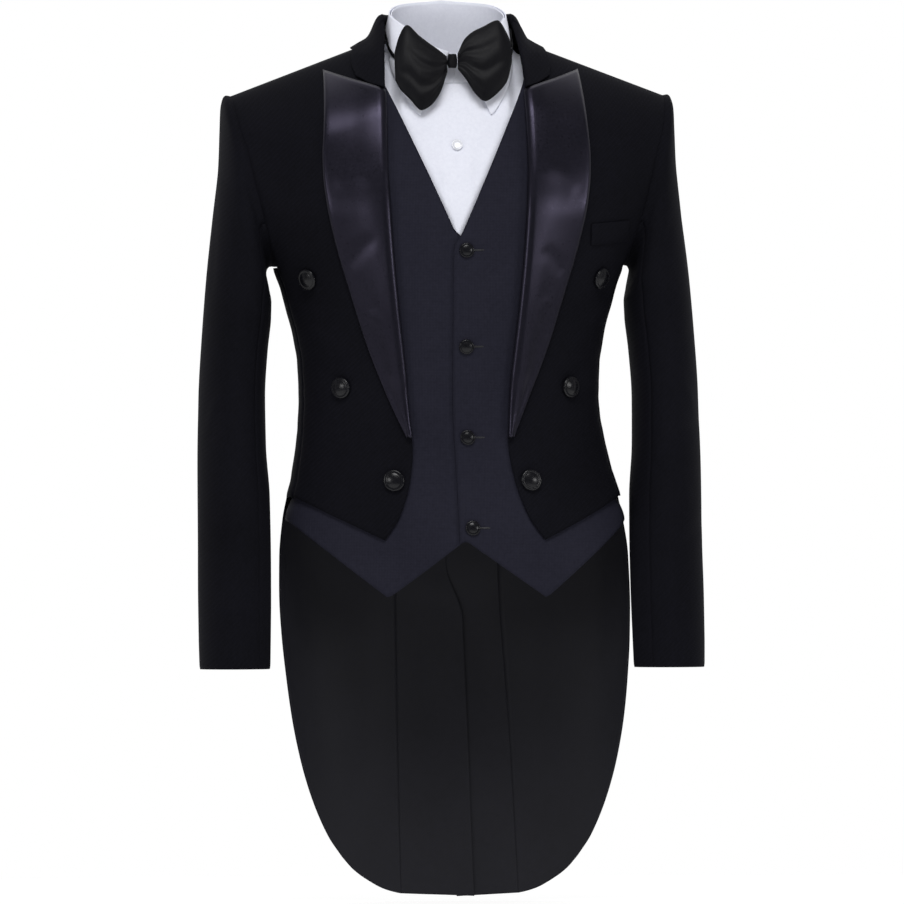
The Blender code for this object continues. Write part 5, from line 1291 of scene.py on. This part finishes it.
shirt = {
    "depth": 7.8, "wall": 1.0, "sink": 6.4, "neckR": 66.0, "neckFrontZ": -28.0, "neckBackZ": 6.0,
    "frontZ": -232.0, "yokeZ": -60.0, "width": 110.0, "columns": 96, "frontRows": 90, "yokeRows": 30,
    "placket": 17.0, "placketRise": 0.5, "buttonZ": -96.0, "button": 6.0,
    "topRX": 60.5, "topRY": 57.0, "topY": -7.0, "leafOpening": (4.0, 33.0), "leafWall": 1.2,
    "leafOff": 3.8, "leafRise": 1.0, "leafOver": 2.1, "leafAbove": 1.3, "leafSwell": (2.0, 0.4),
    "leafTurn": 82.0, "yokeGap": 3.0, "yokeEase": 14.0, "yokeFall": 15.0, "coverGap": 3.0, "coverEase": 14.0,
    "coverZ": -198.0, "coverFall": 12.0, "sideX": 56.0, "sideEase": 14.0, "sideZ": -70.0, "sideFall": 22.0,
    "placketEase": 1.6, "stitchIn": 5.0, "stitchWide": 0.8, "stitchDeep": -0.25, "rowPower": 1.3,
    "creaseFrom": 4, "creaseOver": 20, "creaseLeast": 0.5, "leafUnder": 0.5, "swellFrom": 60,
    "swellOver": 40, "standColumns": 90, "standRows": 24, "standStart": 0.8, "leafColumns": 110,
    "leafRows": 36, "riseOver": 0.12, "leafTall": 62, "edgeStitch": (5.0, 0.9, 0.25),
}
waistcoatV = straightOf(columnsOf(("z", "x"), ((20, 82), (-10, 80), (-24, 78), (-206, -2.8))), "z", "x")
shirtFolds = (
    (-52, -74, -14, -150, 4, 8, -1.0),
    (50, -70, 16, -140, -4, 8, -0.9),
    (-36, -96, 26, -112, 4, 9, 0.6),
    (34, -120, -20, -146, 4, 8, -0.7),
    (-22, -150, 8, -182, 3, 7, 0.7),
)
collarTopZ = curveOf(columnsOf(("angle", "z"), ((0, 0), (20, 8), (45, 26), (70, 37), (90, 43),
                                                (130, 54), (180, 59))), "angle", "z")
leafEdge = columnsOf(("angle", "x", "z"), (
    (0, 3, -64), (33, 38, -63), (45, 51, -47), (60, 62, -26), (75, 67.5, -2), (90, 67, 16),
    (120, 56, 18), (150, 32.5, 19), (180, 0, 20)))
leafEdgeX, leafEdgeZ = curveOf(leafEdge, "angle", "x"), curveOf(leafEdge, "angle", "z")


def neckCurve(x, middleZ):
    share = np.minimum(np.abs(x) / shirt["neckR"], 1.0)
    return blendTo(middleZ, float(ridgeHeight(shirt["neckR"])), 1 - np.sqrt(1 - share * share))


def shirtPlaces(middleZ, bottomZ, behind, rows):
    x = np.linspace(-shirt["width"], shirt["width"], shirt["columns"] + 1)
    top = np.where(np.abs(x) < shirt["neckR"], neckCurve(x, middleZ), ridgeHeight(x))
    top = np.minimum(top, ridgeHeight(x) - ridge["clear"])
    lines = []
    for i in range(rows + 1):
        z = blendTo(top, bottomZ, (i / rows) ** shirt["rowPower"])
        lines.append(np.stack((turnAt(x, z, behind), z), -1))
    return np.array(lines)


def yokeSink(turn, z):
    x = np.abs(formPoint(turn, z)[..., 0])
    below = easeStep((ridgeHeight(x) - z) / shirt["yokeFall"])
    beyond = easeStep((x - shirt["neckR"] - shirt["yokeGap"]) / shirt["yokeEase"])
    return -shirt["sink"] * np.maximum(beyond, below)


def shirtLift(turn, z, point):
    x = point[..., 0]
    size = np.abs(x)
    underV = easeStep((size - waistcoatV(z) + shirt["coverGap"]) / shirt["coverEase"])
    low = easeStep((shirt["coverZ"] - z) / shirt["coverFall"])
    beside = easeStep((size - shirt["sideX"]) / shirt["sideEase"])
    covered = np.maximum(np.maximum(underV, low), beside * easeStep((z - shirt["sideZ"]) / shirt["sideFall"]))
    strip = shirt["placketRise"] * (1 - easeStep((size - shirt["placket"]) / shirt["placketEase"]))
    stitchLine = size - shirt["placket"] + shirt["stitchIn"]
    stitch = shirt["stitchDeep"] * np.exp(-(stitchLine / shirt["stitchWide"]) ** 2)
    crease = foldField(x, z, shirtFolds)
    crease = crease * easeStep((size - shirt["creaseFrom"]) / shirt["creaseOver"] + shirt["creaseLeast"])
    return blendTo(strip + stitch + crease, -shirt["sink"], covered)


shirtLow, shirtHigh = -shirt["depth"] - shirt["wall"], -shirt["depth"]
formWall("shirtFront", shirtPlaces(shirt["neckFrontZ"], shirt["frontZ"], False, shirt["frontRows"]), 1,
         shirtLow, shirtHigh, shirtLift, [cottonPoplin], "shirt_front", dip=(0.2, 1.2))
formWall("shirtYoke", shirtPlaces(shirt["neckBackZ"], shirt["yokeZ"], True, shirt["yokeRows"]), 1,
         shirtLow, shirtHigh, lambda turn, z, point: yokeSink(turn, z), [cottonPoplin], "shirt_yoke",
         dip=(0.2, 1.2))


def around(angle):
    radians = np.radians(angle)
    return np.stack((np.sin(radians), -np.cos(radians), np.zeros_like(radians)), -1)


def neckSeam(angle):
    # the shirt collar's seam round the neck, at angles from the middle front
    x = shirt["neckR"] * np.sin(np.radians(angle))
    behind = angle > 90
    seamZ = neckCurve(x, np.where(behind, shirt["neckBackZ"], shirt["neckFrontZ"]))
    z = np.minimum(seamZ, ridgeHeight(x) - hair)
    turn = turnAt(np.maximum(x, hair), z)
    turn = np.where(behind, 2.0 - turn, turn)
    sink = np.where(behind, yokeSink(turn, z), 0.0)
    lift = sink - shirt["depth"] - shirt["wall"] / 2
    return formPoint(turn, z) + formNormal(turn, z) * lift[..., None]


def collarTop(angle):
    radians = np.radians(angle)
    return np.stack((shirt["topRX"] * np.sin(radians), shirt["topY"] - shirt["topRY"] * np.cos(radians),
                     collarTopZ(angle)), -1)


def leafPoint(angle, share):
    # the turned-down leaf at angles from the middle front and shares of its height
    top = collarTop(angle) + around(angle) * shirt["leafOver"]
    x, z = leafEdgeX(angle), leafEdgeZ(angle)
    low = np.minimum(z, ridgeHeight(x) - shirt["leafUnder"])
    front = raisedAt(np.maximum(x, hair), low, np.full_like(x, shirt["leafAbove"] - shirt["depth"]))
    seam = neckSeam(angle) + around(angle) * shirt["leafOff"]
    seam[..., 2] = z
    surface = np.where((angle < shirt["leafTurn"])[..., None], front, seam)
    swell = blendTo(*shirt["leafSwell"], easeStep((angle - shirt["swellFrom"]) / shirt["swellOver"]))
    swell = swell * np.sin(math.pi * np.minimum(share, 1.0))
    return top + (surface - top) * np.asarray(share)[..., None] + around(angle) * swell[..., None]


def ringWall(name, rows, thick, materials, nodes):
    grid = np.concatenate((flipX(rows, -1), rows[:, ::-1][:, 1:]), 1)
    normals = gridNormals(grid)
    return clothWall(name, grid + normals * thick / 2, grid - normals * thick / 2, materials, nodes)


angles = np.linspace(0.04, 180, shirt["standColumns"])
low = neckSeam(angles)
top = collarTop(angles)
start = low + unitOf(top - low) * shirt["standStart"]
stand = np.array([blendTo(start, top, s) for s in np.linspace(0, 1, shirt["standRows"])])
ringWall("shirtStand", stand, shirt["wall"], [cottonPoplin], ["shirt_stand"])
leaf = []
for share in np.linspace(0, 1, shirt["leafRows"]):
    opening = np.linspace(blendTo(*shirt["leafOpening"], share), 180, shirt["leafColumns"])
    line = leafPoint(opening, np.full_like(opening, share))
    line[..., 2] += shirt["leafRise"] * max(0.0, 1 - share / shirt["riseOver"])
    leaf.append(line)
leaf = np.array(leaf)
edge = np.linspace(0, 1, shirt["leafRows"])[:, None]
stitchIn, stitchWide, stitchDeep = shirt["edgeStitch"]  # the row of stitches along its edge
groove = np.exp(-(((1 - edge) * shirt["leafTall"] - stitchIn) / stitchWide) ** 2) * stitchDeep
normals = gridNormals(leaf)
outwards = np.sign((normals * around(np.linspace(20, 180, shirt["leafColumns"]))[None]).sum())
leaf = leaf - normals * outwards * groove[..., None]
ringWall("shirtLeaf", leaf, shirt["leafWall"], [cottonPoplin], ["shirt_leaf"])

# Polyester cast like pearl shell and turned: white, glossy, with a faint cloudy depth
pearlPolyester = wovenCloth("pearlPolyester", {
    "dark": "d4d6de", "light": "eceef4", "perMetre": 40.0, "weftRatio": 0.5, "slubScale": 90.0,
    "threadShade": 0.02, "rough": 0.22, "bump": 0.0, "relief": 0.05, "softBump": 0.02, "ior": 1.54,
    "specular": 0.6, "coat": 0.4, "coatRough": 0.1,
})
shirtButton = {"radius": shirt["button"], "height": 2.4, "sit": 0.9, "sides": 40, "rings": 18, "gather": 0.0,
               "profile": ((0.86, 0.0), (1.0, 0.25), (1.0, 0.7), (0.90, 1.0), (0.74, 0.92), (0.60, 0.74),
                           (0.30, 0.70), (0.04, 0.70))}
domedButton("shirtButton", hair, shirt["buttonZ"], shirtHigh + shirtButton["sit"], shirtButton, pearlPolyester,
            "shirt_button")
print("shirt made")


# Bow tie

bow = {
    "y": -79.3, "lean": 0.27, "knotX": -2.7, "knotZ": -7.5, "knotHalf": (5.3, 7.5, 8.0),
    "bandHalf": 2.4, "bandWall": 1.0, "bandLift": (1.65, 1.2), "bandFront": 0.16, "bandSide": 0.62,
    "bandTurn": (75.0, 80.0), "around": 96, "along": 80, "pleatFade": 0.7, "pleatDrift": 0.25,
    "driftOver": 3.0, "tipDip": 0.10, "tipAt": 0.9, "tipWide": 0.5, "crisp": 0.15,
}
wingColumns = ("x", "top", "bottom", "half")
wings = {
    "r": columnsOf(wingColumns, (
        (-8.6, -2.5, -20, 4.0), (-17.0, 4.5, -42, 5.5), (-28.0, 12.5, -56, 7.5), (-38.0, 20.5, -60.5, 8.0),
        (-50.5, 31.5, -48, 7.0), (-60.0, 18.0, -38, 5.0), (-65.0, 2.0, -28, 2.6))),
    "l": columnsOf(wingColumns, (
        (3.2, 0.5, -17, 4.0), (11.0, 16.0, -27, 5.5), (21.0, 24.5, -43, 7.5), (31.5, 29.5, -51, 8.0),
        (47.0, 36.5, -40.5, 7.0), (56.5, 24.0, -28, 5.0), (61.5, 12.0, -9, 2.6))),
}
# pleats that run out from the knot: place across the wing (-1 bottom, 1 top), width, depth, reach
wingPleats = {
    "r": ((-0.34, 0.15, 3.4, 5.2), (0.28, 0.12, 2.8, 4.4), (0.72, 0.11, 1.8, 3.2), (-0.76, 0.11, 1.8, 3.4),
          (-0.04, 0.09, 1.6, 3.0)),
    "l": ((0.42, 0.14, 3.0, 4.8), (-0.18, 0.15, 3.2, 5.4), (-0.66, 0.11, 1.9, 3.6), (0.80, 0.10, 1.5, 2.8),
          (0.10, 0.08, 1.5, 3.0)),
}


def bandPoint(angle, up):
    share = blendTo(bow["bandFront"], bow["bandSide"], easeStep(angle / bow["bandTurn"][0]))
    lift = (shirt["leafWall"] + bow["bandWall"]) / 2
    lift = lift + blendTo(*bow["bandLift"], easeStep(angle / bow["bandTurn"][1]))
    return leafPoint(angle, share) + around(angle) * lift[..., None] + np.array((0.0, 0.0, up))


angles = np.linspace(3.0, 180, 110)
band = np.array([bandPoint(angles, up) for up in np.linspace(bow["bandHalf"], -bow["bandHalf"], 7)])
ringWall("bowBand", band, bow["bandWall"], [tieSatin], ["bow_band"])


for tag in ("r", "l"):
    curves = stationCurves(wings[tag])
    last = len(wings[tag]["x"]) - 1
    station = np.linspace(0, last, bow["along"] + 1)[:, None]
    turn = np.linspace(0, 2 * math.pi, bow["around"], endpoint=False)[None, :]
    across = np.cos(turn)
    out = np.sin(turn)
    z = blendTo(curves["bottom"](station), curves["top"](station), (across + 1) / 2)
    wave = np.ones_like(z)
    for place, wide, deep, reach in wingPleats[tag]:
        fade = np.maximum(0.0, 1 - station / reach) ** bow["pleatFade"]
        drift = place * (1 - bow["pleatDrift"] * (1 - np.minimum(station / bow["driftOver"], 1.0)))
        wave -= deep / curves["half"](station) * fade * np.exp(-((across - drift) / wide) ** 2) * np.abs(out)
    ring = 1 - bow["tipDip"] * np.exp(-((station - last + bow["tipAt"]) / bow["tipWide"]) ** 2)
    thick = curves["half"](station) * out * np.abs(out) ** bow["crisp"] * wave * ring
    y = bow["y"] + bow["lean"] * z - thick
    x = np.broadcast_to(curves["x"](station), z.shape)
    points, faces = loftRings(np.stack((x, y, z), -1))
    makePiece("bowWing." + tag.upper(), points, faces, [tieSatin], ["bow_wing_" + tag], sharp=60)

knot = {"rings": 25, "sides": 60, "taper": 0.72, "power": 2.5, "crimp": 0.05, "crimps": 7, "crimpFade": 0.4}
share = np.linspace(-1, 1, knot["rings"])[:, None]
turn = np.linspace(0, 2 * math.pi, knot["sides"], endpoint=False)[None, :]
swell = np.sqrt(np.maximum(0.0, 1 - (np.abs(share) * knot["taper"]) ** knot["power"]))
crimp = 1 - knot["crimp"] * np.cos(turn * knot["crimps"] + 1) * (1 - knot["crimpFade"] * np.abs(share))
x = bow["knotX"] + bow["knotHalf"][0] * swell * np.cos(turn) * crimp
y = bow["y"] + bow["lean"] * bow["knotZ"] + bow["knotHalf"][2] * swell * np.sin(turn) * crimp
z = bow["knotZ"] + bow["knotHalf"][1] * share + 0 * turn
points, faces = loftRings(np.stack((x, y, z), -1))
makePiece("bowKnot", points, faces, [tieSatin], ["bow_knot"], sharp=60)
print("bow tie made")


print("all pieces made")
